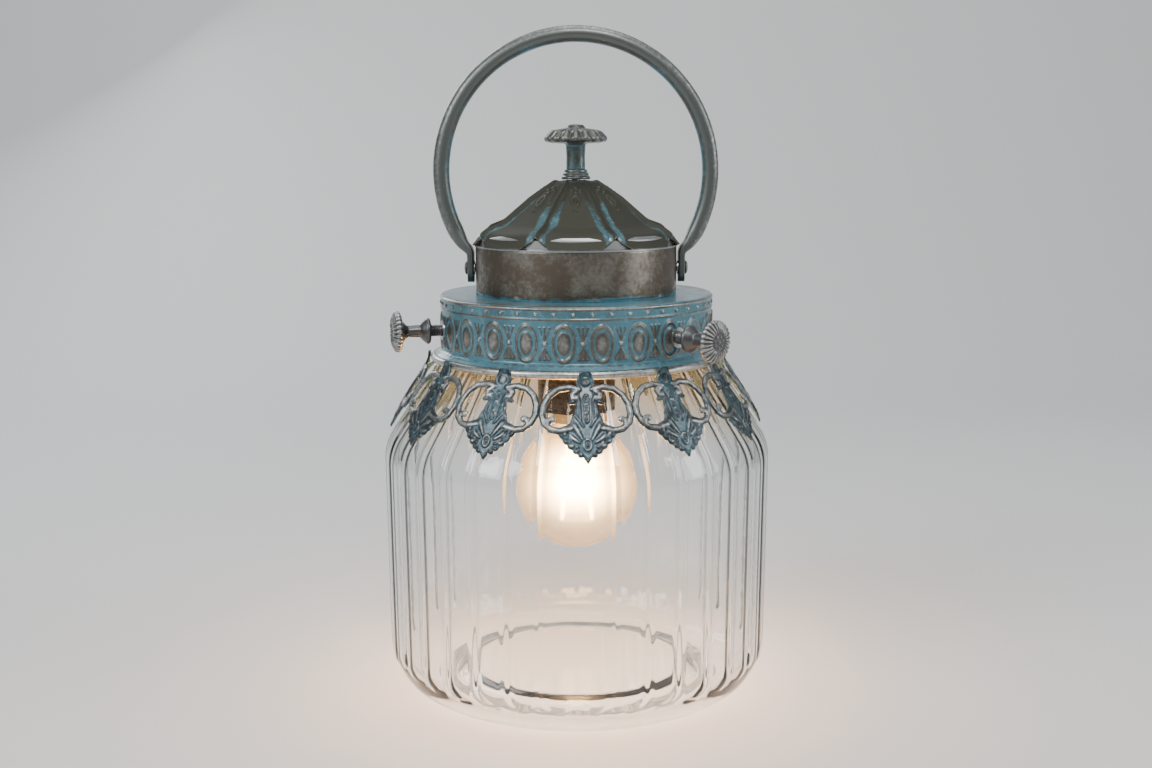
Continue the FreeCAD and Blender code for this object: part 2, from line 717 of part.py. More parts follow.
def make_bail():
    """Bent tube on a round bow, forged flat into an upright tab at each end, with its rivet holes."""
    middle_x = f"({TAB_INNER} + bail_tab_thickness / 2)"
    drop = value("bail_bow_height - bail_tube_end")
    bow = value("bail_bow_radius")
    end_angle = math.degrees(math.asin(drop / bow))
    arc = doc.addObject("Part::Circle", "bail_path")
    upright = Rotation(Vector(0, 1, 0), end_angle).multiply(Rotation(Vector(1, 0, 0), 90))
    arc.Placement = Placement(Vector(0, 0, value("bail_bow_height")), upright)
    arc.setExpression("Placement.Base.z", formula("bail_bow_height"))
    arc.setExpression("Radius", formula("bail_bow_radius"))
    arc.setExpression("Angle2", formula("180 deg + 2 * asin((bail_bow_height - bail_tube_end) / bail_bow_radius)"))
    section = doc.addObject("Part::Circle", "bail_section")
    section.setExpression("Radius", formula("bail_tube_radius"))
    start = math.radians(end_angle)
    spot = Vector(bow * math.cos(start), 0, value("bail_tube_end"))
    along = Vector(math.sin(start), 0, math.cos(start))
    section.Placement = Placement(spot, Rotation(Vector(0, 0, 1), along))
    tube = doc.addObject("Part::Sweep", "bail_tube")
    tube.Sections = [section]
    tube.Spine = (arc, ["Edge1"])
    tube.Solid = True
    pieces = [tube]
    for side, name in ((1, "right"), (-1, "left")):
        top = doc.addObject("Part::Circle", f"bail_neck_top_{name}")
        top.setExpression("Radius", formula("bail_tube_radius"))
        top.Placement = Placement(
            Vector(side * spot.x, 0, spot.z), Rotation(Vector(0, 0, 1), Vector(side * along.x, 0, along.z)))
        foot = doc.addObject("Part::Ellipse", f"bail_neck_foot_{name}")
        foot.setExpression("MajorRadius", formula("bail_tab_half_width"))
        foot.setExpression("MinorRadius", formula("bail_tab_thickness / 2"))
        foot.Placement = Placement(
            Vector(side * value(middle_x), 0, value("bail_pivot_height + bail_tab_above")),
            Rotation(Vector(0, 0, 1), 90))
        neck = doc.addObject("Part::Loft", f"bail_neck_{name}")
        neck.Sections = [foot, top]
        neck.Solid = True
        neck.Ruled = False
        pieces.append(neck)
        tab = new_body(f"bail_tab_{name}")
        face = new_sketch(tab, f"bail_tab_face_{name}", role="YZ_Plane")
        low = "bail_pivot_height - bail_tab_below + bail_tab_half_width * bail_tab_foot_share"
        high = "bail_pivot_height + bail_tab_above + bail_tab_lap"
        outline(face, [
            ("-bail_tab_half_width", low, ("bail_tab_half_width * bail_tab_bend_share", 1)),
            ("bail_tab_half_width", low),
            ("bail_tab_half_width * bail_tab_foot_share", high),
            ("-bail_tab_half_width * bail_tab_foot_share", high),
        ])
        where = TAB_INNER if side > 0 else f"-{TAB_OUTER}"
        face.setExpression("AttachmentOffset.Base.z", formula(where))
        pad(tab, face, "bail_tab_thickness")
        pieces.append(tab)
    whole = doc.addObject("Part::MultiFuse", "bail_blank")
    whole.Shapes = pieces
    pin = doc.addObject("Part::Cylinder", "bail_rivet_space")
    pin.setExpression("Radius", formula("rivet_radius + fit_gap"))
    pin.setExpression("Height", formula(f"2 * ({TAB_OUTER} + cut_margin)"))
    pin.Placement = Placement(
        Vector(-value(f"{TAB_OUTER} + cut_margin"), 0, value("bail_pivot_height")), Rotation(Vector(0, 1, 0), 90))
    drilled = doc.addObject("Part::Cut", "bail_drilled")
    drilled.Base = whole
    drilled.Tool = pin
    keep(drilled, "bail")


def turned_across(name, label, points):
    """A pair of pieces turned about the X axis through the bail's pivot, given as (radius, distance out)."""
    body = new_body(name)
    for side, word in ((1, "right"), (-1, "left")):
        sketch = new_sketch(body, f"{name}_{word}")
        outline(sketch, [(f"{side} * ({out})", f"bail_pivot_height + {radius}") for radius, out in points])
        axis_line = sketch.addGeometry(Part.LineSegment(
            Vector(side * 10, value("bail_pivot_height"), 0),
            Vector(side * 20, value("bail_pivot_height"), 0)), True)
        for end in (1, 2):
            number = sketch.addConstraint(Sketcher.Constraint(
                "DistanceY", -1, 1, axis_line, end, value("bail_pivot_height")))
            sketch.setExpression(f"Constraints[{number}]", formula("bail_pivot_height"))
        turned = body.newObject("PartDesign::Revolution", f"{name}_{word}_turned")
        turned.Profile = sketch
        turned.ReferenceAxis = (sketch, ["Axis0"])
        turned.Angle = FULL_TURN
    keep(body, label)


def make_rivets():
    head = f"({TAB_OUTER} + rivet_gap)"
    tail = f"({DRUM_INNER} - rivet_gap)"
    turned_across("rivets", "bail_rivets", [
        ("0", f"{DRUM_INNER} - rivet_tail_height"),
        ("0", f"{head} + rivet_head_height"),
        ("rivet_head_radius * rivet_dome_share", f"{head} + rivet_head_height"),
        ("rivet_head_radius", f"{head} + rivet_head_height * rivet_edge_share"),
        ("rivet_head_radius", head),
        ("rivet_radius", head),
        ("rivet_radius", tail),
        ("rivet_head_radius * rivet_tail_share", tail),
        ("rivet_head_radius * rivet_tail_share", f"{DRUM_INNER} - rivet_tail_height"),
    ])
    turned_across("washers", "bail_washers", [
        ("rivet_radius + fit_gap", "drum_radius + fit_gap"),
        ("rivet_radius + fit_gap", "drum_radius + bail_tab_gap - fit_gap * 2"),
        ("washer_radius", "drum_radius + bail_tab_gap - fit_gap * 2"),
        ("washer_radius", "drum_radius + fit_gap"),
    ])


# ---- canopy and finial ----------------------------------------------------------------------------------


def canopy_outline(shift):
    """Ogee dome from its flat cap to the eaves; shift moves it inwards and down for the inner surface."""
    return [
        (f"canopy_cap_radius - {shift}", f"{CANOPY_TOP} - {shift}", ("canopy_dome_bend", -1)),
        (f"canopy_dome_radius - {shift}", f"{CANOPY_BOTTOM} + canopy_dome_height - {shift}",
         ("canopy_hollow_bend", 1)),
        (f"canopy_eave_radius - {shift}", f"{CANOPY_BOTTOM} + canopy_eave_height - {shift}",
         ("canopy_edge_bend", -1)),
        (f"canopy_radius - {shift}", f"{CANOPY_BOTTOM} - {shift}"),
    ]


def solid_of_revolution(name, points):
    body = new_body(name)
    revolve(body, points)
    return body


def make_canopy():
    """Dome shell with eight shallow notches between its gores and a hole for the finial's stud."""
    body = new_body("canopy_shell")
    outer = canopy_outline("0")
    inner = canopy_outline("canopy_wall")
    upwards = []
    for index in (3, 2, 1, 0):
        bend = inner[index - 1][2] if index else None
        upwards.append(inner[index][:2] + (((bend[0], -bend[1]),) if bend else ()))
    hole = "stud_radius + fit_gap"
    upwards[0] = ("canopy_radius - canopy_wall", CANOPY_BOTTOM) + upwards[0][2:]
    revolve(body, [(hole, CANOPY_TOP)] + outer + upwards + [(hole, f"{CANOPY_TOP} - canopy_wall")])
    notch = new_sketch(body, "gore_notch", turn="180 / gore_count")
    outline(notch, [
        ("-notch_half_width", f"{CANOPY_BOTTOM} - cut_margin"),
        ("notch_half_width", f"{CANOPY_BOTTOM} - 1", ("notch_half_width * notch_bend_share", -1)),
        ("0", f"{CANOPY_BOTTOM} + notch_height", ("notch_half_width * notch_bend_share", -1)),
    ])
    around(body, pocket(body, notch, "canopy_radius + cut_margin", reverse=True), "gore_count")
    keep(body, "canopy")


def make_locating_ring():
    """Ring that drops inside the drum and reaches up to the inside of the canopy."""
    inside = canopy_outline("canopy_wall")
    void = solid_of_revolution("canopy_inside", [("0", f"{CANOPY_TOP} - canopy_wall")] + inside[:3] + [
        ("canopy_radius - canopy_wall", CANOPY_BOTTOM),
        ("canopy_radius - canopy_wall", f"{DRUM_TOP} - locating_depth - cut_margin"),
        ("0", f"{DRUM_TOP} - locating_depth - cut_margin"),
    ])
    outer = f"({DRUM_INNER} - plate_gap)"
    blank = solid_of_revolution("locating_blank", [
        (f"{outer} - locating_wall", f"{DRUM_TOP} - locating_depth"),
        (outer, f"{DRUM_TOP} - locating_depth"),
        (outer, DRUM_TOP),
        ("drum_radius", DRUM_TOP),
        ("drum_radius", f"{DRUM_TOP} + canopy_rise"),
        (outer, f"{DRUM_TOP} + canopy_rise"),
        (outer, CANOPY_TOP),
        (f"{outer} - locating_wall", CANOPY_TOP),
    ])
    ring = doc.addObject("Part::Common", "locating_ring")
    ring.Base = blank
    ring.Tool = void
    keep(ring, "canopy_locating_ring")


def make_finial():
    disc_top = f"({CANOPY_TOP} + finial_disc_height)"
    step_top = f"({disc_top} + finial_step_height)"
    stem_top = f"({step_top} + finial_stem_height)"
    lip_top = f"({stem_top} + finial_lip_height)"
    shoulder_top = f"({stem_top} + finial_shoulder_height + finial_lip_height)"
    button_top = f"({shoulder_top} + finial_button_height)"
    bore = "(stud_radius + close_gap)"
    body = new_body("collar_disc")
    revolve(body, [
        (bore, CANOPY_TOP),
        ("finial_disc_radius", CANOPY_TOP),
        ("finial_disc_radius", disc_top),
        ("finial_step_radius", disc_top),
        ("finial_step_radius", step_top),
        (bore, step_top),
    ])
    keep(body, "finial_collar")
    body = new_body("finial")
    stud_top = f"({CANOPY_TOP} - stud_below + stud_length)"
    revolve(body, [
        (bore, step_top),
        ("finial_stem_radius", step_top),
        ("finial_stem_radius", stem_top),
        ("finial_head_radius * finial_under_share", stem_top),
        ("finial_head_radius", f"{stem_top} + finial_lip_height / 2"),
        ("finial_head_radius", lip_top, ("finial_head_radius * finial_dome_share", 1)),
        ("finial_button_radius", shoulder_top),
        ("finial_button_radius * finial_button_share", button_top),
        ("0", button_top),
        ("0", stud_top),
        (bore, stud_top),
    ])
    keep(body, "finial_knob")
    stud = doc.addObject("Part::Cylinder", "stud")
    stud.setExpression("Radius", formula("stud_radius"))
    stud.setExpression("Height", formula("stud_length"))
    stud.setExpression("Placement.Base.z", formula(f"{CANOPY_TOP} - stud_below"))
    keep(stud, "finial_stud")
    body = new_body("washer_below")
    under = f"({CANOPY_TOP} - canopy_wall)"
    revolve(body, ring_profile(bore, "finial_washer_radius", f"{under} - finial_washer_height", under))
    keep(body, "finial_washer")
    body = new_body("nut_below")
    flats = new_sketch(body, "finial_nut_flats", role="XY_Plane", offset=f"{under} - finial_washer_height")
    hexagon(flats, "nut_flat_radius")
    circles(flats, [("0", "0", bore)])
    pad(body, flats, "nut_height", reverse=True)
    keep(body, "finial_nut")


# ---- lamp holder and bulb -------------------------------------------------------------------------------


HOLDER_BORE = "(cap_radius + fit_gap)"
GLOBE_NECK = "(cap_radius - cap_wall - fit_gap)"


def make_holder():
    body = new_body("nipple")
    revolve(body, ring_profile("nipple_bore", "nipple_radius", "nipple_bottom", "nipple_top"))
    keep(body, "lamp_nipple")
    body = new_body("nipple_nut_pair")
    for name, height in (("lower", FLANGE_TOP), ("upper", PLATE_TOP)):
        flats = new_sketch(body, f"nipple_nut_{name}", role="XY_Plane", offset=height)
        hexagon(flats, "nipple_nut_flat")
        circles(flats, [("0", "0", "nipple_radius + close_gap")])
        pad(body, flats, "nipple_nut_height", reverse=name == "lower")
    keep(body, "nipple_nuts")
    body = new_body("holder")
    ceiling = "(holder_top - holder_floor)"
    revolve(body, [
        (HOLDER_BORE, "holder_bottom"),
        ("holder_radius", "holder_bottom"),
        ("holder_radius", "holder_top - holder_shoulder", ("holder_shoulder * holder_shoulder_bend", 1)),
        ("holder_neck_radius", "holder_top"),
        ("nipple_radius + close_gap", "holder_top"),
        ("nipple_radius + close_gap", "nipple_bottom"),
        ("nipple_bore", "nipple_bottom"),
        ("nipple_bore", ceiling),
        (HOLDER_BORE, ceiling),
    ])
    keep(body, "lamp_holder")
    body = new_body("centre_contact")
    revolve(body, [
        ("0", f"{ceiling} - contact_height"),
        ("contact_radius", f"{ceiling} - contact_height"),
        ("contact_radius + contact_flare", ceiling),
        ("0", ceiling),
    ])
    keep(body, "lamp_contact")


def make_bulb():
    """Screw cap, tip, hollow globe with its neck, glass stem and filament strips."""
    cap_top = "(holder_top - holder_floor - contact_height - tip_height)"
    body = new_body("cap")
    revolve(body, [
        ("cap_radius - cap_wall", "cap_bottom"),
        ("cap_radius", "cap_bottom"),
        ("cap_radius", f"{cap_top} - cap_wall - cap_chamfer"),
        ("cap_radius - cap_shoulder", cap_top),
        ("0", cap_top),
        ("0", f"{cap_top} - cap_wall"),
        ("cap_radius - cap_shoulder", f"{cap_top} - cap_wall"),
        ("cap_radius - cap_wall", f"{cap_top} - cap_wall - cap_chamfer * 2"),
    ])
    keep(body, "bulb_cap")
    body = new_body("tip")
    revolve(body, [
        ("0", cap_top),
        ("tip_radius", cap_top),
        ("tip_radius * tip_share", f"{cap_top} + tip_height"),
        ("0", f"{cap_top} + tip_height"),
    ])
    keep(body, "bulb_tip")
    inner = "(globe_radius - globe_wall)"
    neck_inner = f"({GLOBE_NECK} - globe_wall)"
    body = new_body("globe")
    revolve(body, [
        ("0", "globe_centre - globe_radius", ("globe_radius", 1)),
        (GLOBE_NECK, f"globe_centre + sqrt(globe_radius ^ 2 - {GLOBE_NECK} ^ 2)"),
        (GLOBE_NECK, "globe_neck_top"),
        (neck_inner, "globe_neck_top"),
        (neck_inner, f"globe_centre + sqrt({inner} ^ 2 - {neck_inner} ^ 2)", (inner, -1)),
        ("0", f"globe_centre - {inner}"),
    ])
    keep(body, "bulb_globe")
    body = new_body("bulb_glass_stem")
    revolve(body, [
        ("0", "stem_bottom"),
        ("stem_radius", "stem_bottom"),
        ("stem_radius", "globe_neck_top - stem_flare_start"),
        (f"{neck_inner} - fit_gap", "globe_neck_top - stem_flare_end"),
        (f"{neck_inner} - fit_gap", "globe_neck_top"),
        ("0", "globe_neck_top"),
    ])
    keep(body, "bulb_stem")
    strips = []
    for number in range(SIZES["filament_count"]):
        strip = doc.addObject("Part::Cylinder", f"filament_{number + 1}")
        strip.setExpression("Radius", formula("filament_radius"))
        strip.setExpression("Height", formula("filament_length"))
        azimuth = FULL_TURN * (number + 0.5) / SIZES["filament_count"]
        turned = Rotation(Vector(0, 0, 1), azimuth)
        leaning = turned.multiply(Rotation(Vector(0, 1, 0), -value("filament_lean")))
        foot = turned.multVec(Vector(value("filament_foot_circle"), 0, 0))
        strip.Placement = Placement(foot + Vector(0, 0, value("filament_bottom")), leaning)
        strip.setExpression("Placement.Base.z", formula("filament_bottom"))
        strips.append(strip)
    joined = doc.addObject("Part::Compound", "filaments")
    joined.Links = strips
    keep(joined, "led_filaments")


# ---- batteries, switch, wires ---------------------------------------------------------------------------

ROW_HALF = "(cell_pitch * (cell_count - 1) / 2)"
CAVITY_HALF_X = f"({ROW_HALF} + cell_radius + tray_side_gap)"
CAVITY_HALF_Y = "(cell_length / 2 + cell_nub_height / 2 + spring_length / 2 + contact_plate)"


def make_tray():
    """Open tray on a low plinth, so that the holder's nut has room beneath its floor."""
    body = new_body("tray")
    base = new_sketch(body, "tray_base", role="XY_Plane", offset=PLATE_TOP)
    half_x = f"({CAVITY_HALF_X} + tray_wall)"
    half_y = f"({CAVITY_HALF_Y} + tray_wall)"
    rectangle(base, f"-{half_x}", half_x, f"-{half_y}", half_y)
    pad(body, base, f"{FLOOR_TOP} - {PLATE_TOP} + tray_side_height")
    above = new_sketch(body, "tray_cavity", role="XY_Plane", offset=FLOOR_TOP)
    rectangle(above, f"-{CAVITY_HALF_X}", CAVITY_HALF_X, f"-{CAVITY_HALF_Y}", CAVITY_HALF_Y)
    pocket(body, above, "tray_side_height + cut_margin", reverse=True)
    below = new_sketch(body, "tray_plinth", role="XY_Plane", offset=PLATE_TOP)
    rectangle(below, f"-{CAVITY_HALF_X}", CAVITY_HALF_X, f"-{CAVITY_HALF_Y}", CAVITY_HALF_Y)
    pocket(body, below, "tray_floor_rise", reverse=True)
    way = new_sketch(body, "wire_way", role="XY_Plane", offset=PLATE_TOP)
    circles(way, [("0", "0", "nipple_bore")])
    pocket(body, way, "tray_floor_rise + tray_wall * 2", reverse=True)
    keep(body, "battery_tray")


def make_cells():
    body = new_body("cells")
    can = new_sketch(body, "cell_can")
    circles(can, [(f"-{ROW_HALF}", CELL_AXIS, "cell_radius")])
    near = "(cell_length / 2 - spring_length / 2 + cell_nub_height / 2)"
    can.setExpression("AttachmentOffset.Base.z", formula(f"-{near}"))
    first = pad(body, can, "cell_length")
    nub = new_sketch(body, "cell_nub")
    circles(nub, [(f"-{ROW_HALF}", CELL_AXIS, "cell_nub_radius")])
    nub.setExpression("AttachmentOffset.Base.z", formula(f"cell_length - {near}"))
    second = pad(body, nub, "cell_nub_height")
    in_a_row(body, [first, second], "X_Axis", "cell_pitch", "cell_count")
    keep(body, "batteries")

    body = new_body("plates")
    for name, start in (("front", f"{CAVITY_HALF_Y} - contact_plate"), ("back", f"-{CAVITY_HALF_Y}")):
        face = new_sketch(body, f"contact_{name}", offset=start)
        rectangle(face, f"-{ROW_HALF} - cell_radius / 2", f"{ROW_HALF} + cell_radius / 2",
                  FLOOR_TOP, f"{FLOOR_TOP} + tray_side_height - contact_plate_drop")
        pad(body, face, "contact_plate")
    keep(body, "battery_plates")

    body = new_body("springs")
    coil = new_sketch(body, "spring_coil", offset=f"-{CAVITY_HALF_Y} + contact_plate")
    circles(coil, [(f"-{ROW_HALF}", CELL_AXIS, "cell_nub_radius"),
                   (f"-{ROW_HALF}", CELL_AXIS, "cell_nub_radius - spring_wire")])
    in_a_row(body, [pad(body, coil, "spring_length")], "X_Axis", "cell_pitch", "cell_count")
    keep(body, "battery_springs")


def make_switch():
    """Slide switch on the tray's side; its slider rides in a slot on top."""
    low = f"({PLATE_TOP} + switch_rise)"
    high = f"({low} + switch_height)"
    inner = f"({CAVITY_HALF_X} + tray_wall)"
    body = new_body("switch_body")
    base = new_sketch(body, "switch_base", role="XY_Plane", offset=low)
    rectangle(base, inner, f"{inner} + switch_depth", "-switch_length / 2", "switch_length / 2")
    pad(body, base, "switch_height")
    slot = new_sketch(body, "switch_slot", role="XY_Plane", offset=f"{high} - slider_sink")
    centre = f"({inner} + switch_depth / 2)"
    half_way = "((slider_length + slider_travel) / 2 + slider_gap)"
    rectangle(slot, f"{centre} - slider_width / 2 - slider_gap", f"{centre} + slider_width / 2 + slider_gap",
              f"-{half_way}", half_way)
    pocket(body, slot, "slider_sink * 2", reverse=True)
    keep(body, "switch_housing")
    body = new_body("slider")
    button = new_sketch(body, "slider_base", role="XY_Plane", offset=f"{high} - slider_sink + slider_gap")
    rectangle(button, f"{centre} - slider_width / 2", f"{centre} + slider_width / 2",
              "-(slider_length + slider_travel) / 2", "(slider_length - slider_travel) / 2")
    pad(body, button, "slider_height")
    keep(body, "switch_slider")


def make_wires():
    body = new_body("wires")
    foot = "(holder_top - holder_floor)"
    ends = new_sketch(body, "wire_ends", role="XY_Plane", offset=foot)
    circles(ends, [("wire_offset", "0", "wire_radius"), ("-wire_offset", "0", "wire_radius")])
    pad(body, ends, f"{FLOOR_TOP} - {foot}")
    keep(body, "feed_wires")


# ---- build, check, write --------------------------------------------------------------------------------

make_jar()
make_rim_seat()
make_collar()
make_ring()
make_skirt()
make_bushes()
for screw_side, screw_azimuth in SCREWS.items():
    make_screw(screw_side, screw_azimuth)
make_drum()
make_chassis()
make_bail()
make_rivets()
make_canopy()
make_locating_ring()
make_finial()
make_holder()
make_bulb()
make_tray()
make_cells()
make_switch()
make_wires()
doc.recompute()

failed = [item.Label for item in doc.Objects if "Invalid" in item.State or "Error" in item.State]
if failed:
    raise RuntimeError(f"these failed: {failed}")
for before, after in cuts:
    if after.Shape.Volume >= before.Shape.Volume - 0.001:
        raise RuntimeError(f"{after.Name} cut nothing")
for part in parts:
    if part.Shape.isNull() or not part.Shape.isValid():
        raise RuntimeError(f"{part.Label} has no valid shape")
for part in parts:
    part.Shape.exportStep(f"parts/{part.Label}.step")
    box = part.Shape.BoundBox
    print(part.Label, len(part.Shape.Solids), "solids", round(part.Shape.Volume), "mm3",
          "z", round(box.ZMin, 1), round(box.ZMax, 1))
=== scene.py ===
"""Looks of an electric lantern in oil-lamp style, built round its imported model.

Lengths are metres, heights are above the foot, an azimuth is measured from the front (-Y) towards +X.
"""
import math

import bpy
import numpy as np
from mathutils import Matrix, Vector


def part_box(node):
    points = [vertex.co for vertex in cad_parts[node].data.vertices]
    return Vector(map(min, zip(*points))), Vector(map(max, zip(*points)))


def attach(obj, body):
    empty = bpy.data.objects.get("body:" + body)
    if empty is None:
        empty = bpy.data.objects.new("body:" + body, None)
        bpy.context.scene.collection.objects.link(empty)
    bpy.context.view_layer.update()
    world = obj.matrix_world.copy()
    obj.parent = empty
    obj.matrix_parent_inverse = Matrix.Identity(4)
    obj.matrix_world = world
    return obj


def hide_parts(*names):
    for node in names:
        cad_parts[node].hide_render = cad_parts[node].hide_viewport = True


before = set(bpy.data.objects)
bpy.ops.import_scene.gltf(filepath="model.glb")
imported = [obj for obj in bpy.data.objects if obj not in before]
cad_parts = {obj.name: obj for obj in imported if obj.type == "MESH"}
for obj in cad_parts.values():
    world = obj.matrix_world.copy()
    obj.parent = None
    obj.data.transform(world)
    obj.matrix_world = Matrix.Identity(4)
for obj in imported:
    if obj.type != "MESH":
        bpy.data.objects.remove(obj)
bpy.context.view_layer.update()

MM = 0.001
TURN = 2 * math.pi
BACKWARD = np.array([0.0, 1.0, 0.0])
UPWARD = np.array([0.0, 0.0, 1.0])


# ---- places taken from the frame ----------------------------------------------------------------------


def low(node):
    """Height of a node's underside."""
    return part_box(node)[0][2]


def high(node):
    """Height of a node's top."""
    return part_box(node)[1][2]


def reach(node):
    """Half of a node's width across X, which is its radius when it is turned about the axis."""
    return (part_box(node)[1][0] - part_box(node)[0][0]) / 2


JAR_RADIUS = min(reach("glass_jar"), (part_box("glass_jar")[1][1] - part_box("glass_jar")[0][1]) / 2) - 0.05 * MM
JAR_RIM = high("glass_jar")
RING_LOW = low("skirt_ring")
RING_TOP = high("skirt_ring")
RING_REACH = reach("skirt_ring")
FLANGE_TOP = high("collar_band")
COLLAR_RADIUS = 65.2 * MM
DRUM_RADIUS = reach("drum")
DRUM_TOP = high("drum")
ROOF_LOW = low("canopy")
ROOF_TOP = high("canopy")
ROOF_RADIUS = reach("canopy")
BAIL_TOP = high("bail")
BAIL_REACH = reach("bail")
PIVOT_HEIGHT = (low("bail_rivets") + high("bail_rivets")) / 2
SCREW_HEIGHT = (low("screw_right_knob") + high("screw_right_knob")) / 2
SCREW_AZIMUTHS = {"right": 45.0, "left": -75.0, "back": 165.0}


# ---- shape functions ----------------------------------------------------------------------------------


def smooth_step(low_end, high_end, x):
    """0 below the low end, 1 above the high end, 3t^2 - 2t^3 between."""
    t = np.clip((x - low_end) / (high_end - low_end), 0, 1)
    return t * t * (3 - 2 * t)


def bump(x, centre, half_width):
    """Cosine hill of height 1 about a centre, 0 beyond its half width."""
    t = np.clip(np.abs(x - centre) / half_width, 0, 1)
    return 0.5 + 0.5 * np.cos(math.pi * t)


def dome(distance, radius):
    """Height of a unit half-ellipse over its centre line: sqrt(1 - (d / r)^2)."""
    return np.sqrt(np.clip(1 - (distance / radius) ** 2, 0, 1))


WAVES = 7
WAVE_GAIN = 1.6


def wander(x, y, z, seed, scale):
    """Smooth noise, about -1 to 1: the mean of sine waves with ways and phases drawn from a seed."""
    draw = np.random.default_rng(seed)
    total = np.zeros(np.broadcast(x, y, z).shape)
    for _ in range(WAVES):
        way = draw.normal(size=3)
        way *= TURN / scale / np.linalg.norm(way) * draw.uniform(0.6, 1.6)
        total = total + np.sin(way[0] * x + way[1] * y + way[2] * z + draw.uniform(0, TURN))
    return total / WAVES * WAVE_GAIN


def rounded(corners, step):
    """Profile of straight runs joined by tangent arcs, in metres.

    A corner is (radius, height, bend) in millimetres. A fourth number is the step of the run leading to it.
    """
    spots = [np.array(corner[:2], float) for corner in corners]
    steps = [corner[3] if len(corner) > 3 else step for corner in corners]
    dense = [spots[0]]

    def run_to(spot, run_step):
        start = dense[-1]
        parts = max(1, int(round(np.linalg.norm(spot - start) / run_step)))
        dense.extend(start + (spot - start) * part / parts for part in range(1, parts + 1))

    for index in range(1, len(corners) - 1):
        bend = corners[index][2]
        before = spots[index - 1] - spots[index]
        after = spots[index + 1] - spots[index]
        before /= np.linalg.norm(before)
        after /= np.linalg.norm(after)
        opening = math.acos(np.clip(before @ after, -1, 1))
        if not bend or opening > math.pi - 0.01:
            run_to(spots[index], steps[index])
            continue
        back = bend / math.tan(opening / 2)
        middle = before + after
        centre = spots[index] + middle / np.linalg.norm(middle) * bend / math.sin(opening / 2)
        first = spots[index] + before * back - centre
        last = spots[index] + after * back - centre
        turn = math.atan2(first[0] * last[1] - first[1] * last[0], first @ last)
        run_to(centre + first, steps[index])
        count = max(3, int(abs(turn) * bend / step) + 1)
        for angle in np.linspace(0, turn, count + 1)[1:]:
            c, s = math.cos(angle), math.sin(angle)
            dense.append(centre + np.array([c * first[0] - s * first[1], s * first[0] + c * first[1]]))
    run_to(spots[-1], steps[-1])
    return np.array(dense) * MM


def ring_of(profile, columns):
    """Grid of a (radius, height) profile carried round the axis: rows along it, columns round it."""
    azimuth = np.arange(columns) * TURN / columns
    radius = profile[:, 0][:, None]
    height = profile[:, 1][:, None] + 0 * azimuth
    return radius + 0 * azimuth, azimuth + 0 * radius, height


def to_points(radius, azimuth, height):
    """Cylinder coordinates to points: (r sin a, -r cos a, z)."""
    return np.stack([radius * np.sin(azimuth), -radius * np.cos(azimuth), height], -1)


# ---- meshes -------------------------------------------------------------------------------------------


def grid_faces(rows, columns, wrap_rows=False, wrap_columns=True):
    """Quads over a grid of points numbered row by row."""
    row = np.arange(rows if wrap_rows else rows - 1)[:, None]
    column = np.arange(columns if wrap_columns else columns - 1)[None, :]
    next_row = (row + 1) % rows
    next_column = (column + 1) % columns
    corners = [row * columns + column, row * columns + next_column,
               next_row * columns + next_column, next_row * columns + column]
    return np.stack(corners, -1).reshape(-1, 4)


def outward(points, faces):
    """The faces, turned over if the volume they enclose comes out negative."""
    volume = 0.0
    for group in faces:
        a, b = points[group[:, 0]], points[group[:, 1]]
        for corner in range(2, group.shape[1]):
            c = points[group[:, corner]]
            volume += np.einsum("ij,ij->i", a, np.cross(b, c)).sum()
            b = c
    return faces if volume > 0 else [group[:, ::-1] for group in faces]


def make_mesh(name, points, faces, relief=None):
    """Smooth object at the origin from points and groups of faces; relief is an attribute of the points."""
    faces = outward(points, faces)
    loops = np.concatenate([group.ravel() for group in faces]).astype(np.int32)
    sizes = np.concatenate([np.full(len(group), group.shape[1]) for group in faces]).astype(np.int32)
    mesh = bpy.data.meshes.new(name)
    mesh.vertices.add(len(points))
    mesh.vertices.foreach_set("co", points.astype(np.float32).ravel())
    mesh.loops.add(len(loops))
    mesh.loops.foreach_set("vertex_index", loops)
    mesh.polygons.add(len(sizes))
    mesh.polygons.foreach_set("loop_start", np.concatenate([[0], np.cumsum(sizes)[:-1]]).astype(np.int32))
    mesh.polygons.foreach_set("loop_total", sizes)
    mesh.polygons.foreach_set("use_smooth", np.full(len(sizes), True))
    if relief is not None:
        layer = mesh.attributes.new("relief", "FLOAT", "POINT")
        layer.data.foreach_set("value", np.clip(relief, 0, 1).astype(np.float32).ravel())
    mesh.update(calc_edges=True)
    mesh.validate()
    item = bpy.data.objects.new(name, mesh)
    bpy.context.scene.collection.objects.link(item)
    return item


def join_shells(shells):
    """One set of points, faces and relief from several (points, faces, relief) shells."""
    points, faces, reliefs, start = [], [], [], 0
    for shell_points, shell_faces, relief in shells:
        points.append(shell_points)
        faces.extend(group + start for group in outward(shell_points, shell_faces))
        reliefs.append(np.full(len(shell_points), 0.5) if relief is None else relief)
        start += len(shell_points)
    return np.concatenate(points), faces, np.concatenate(reliefs)


ON_AXIS = 1e-9


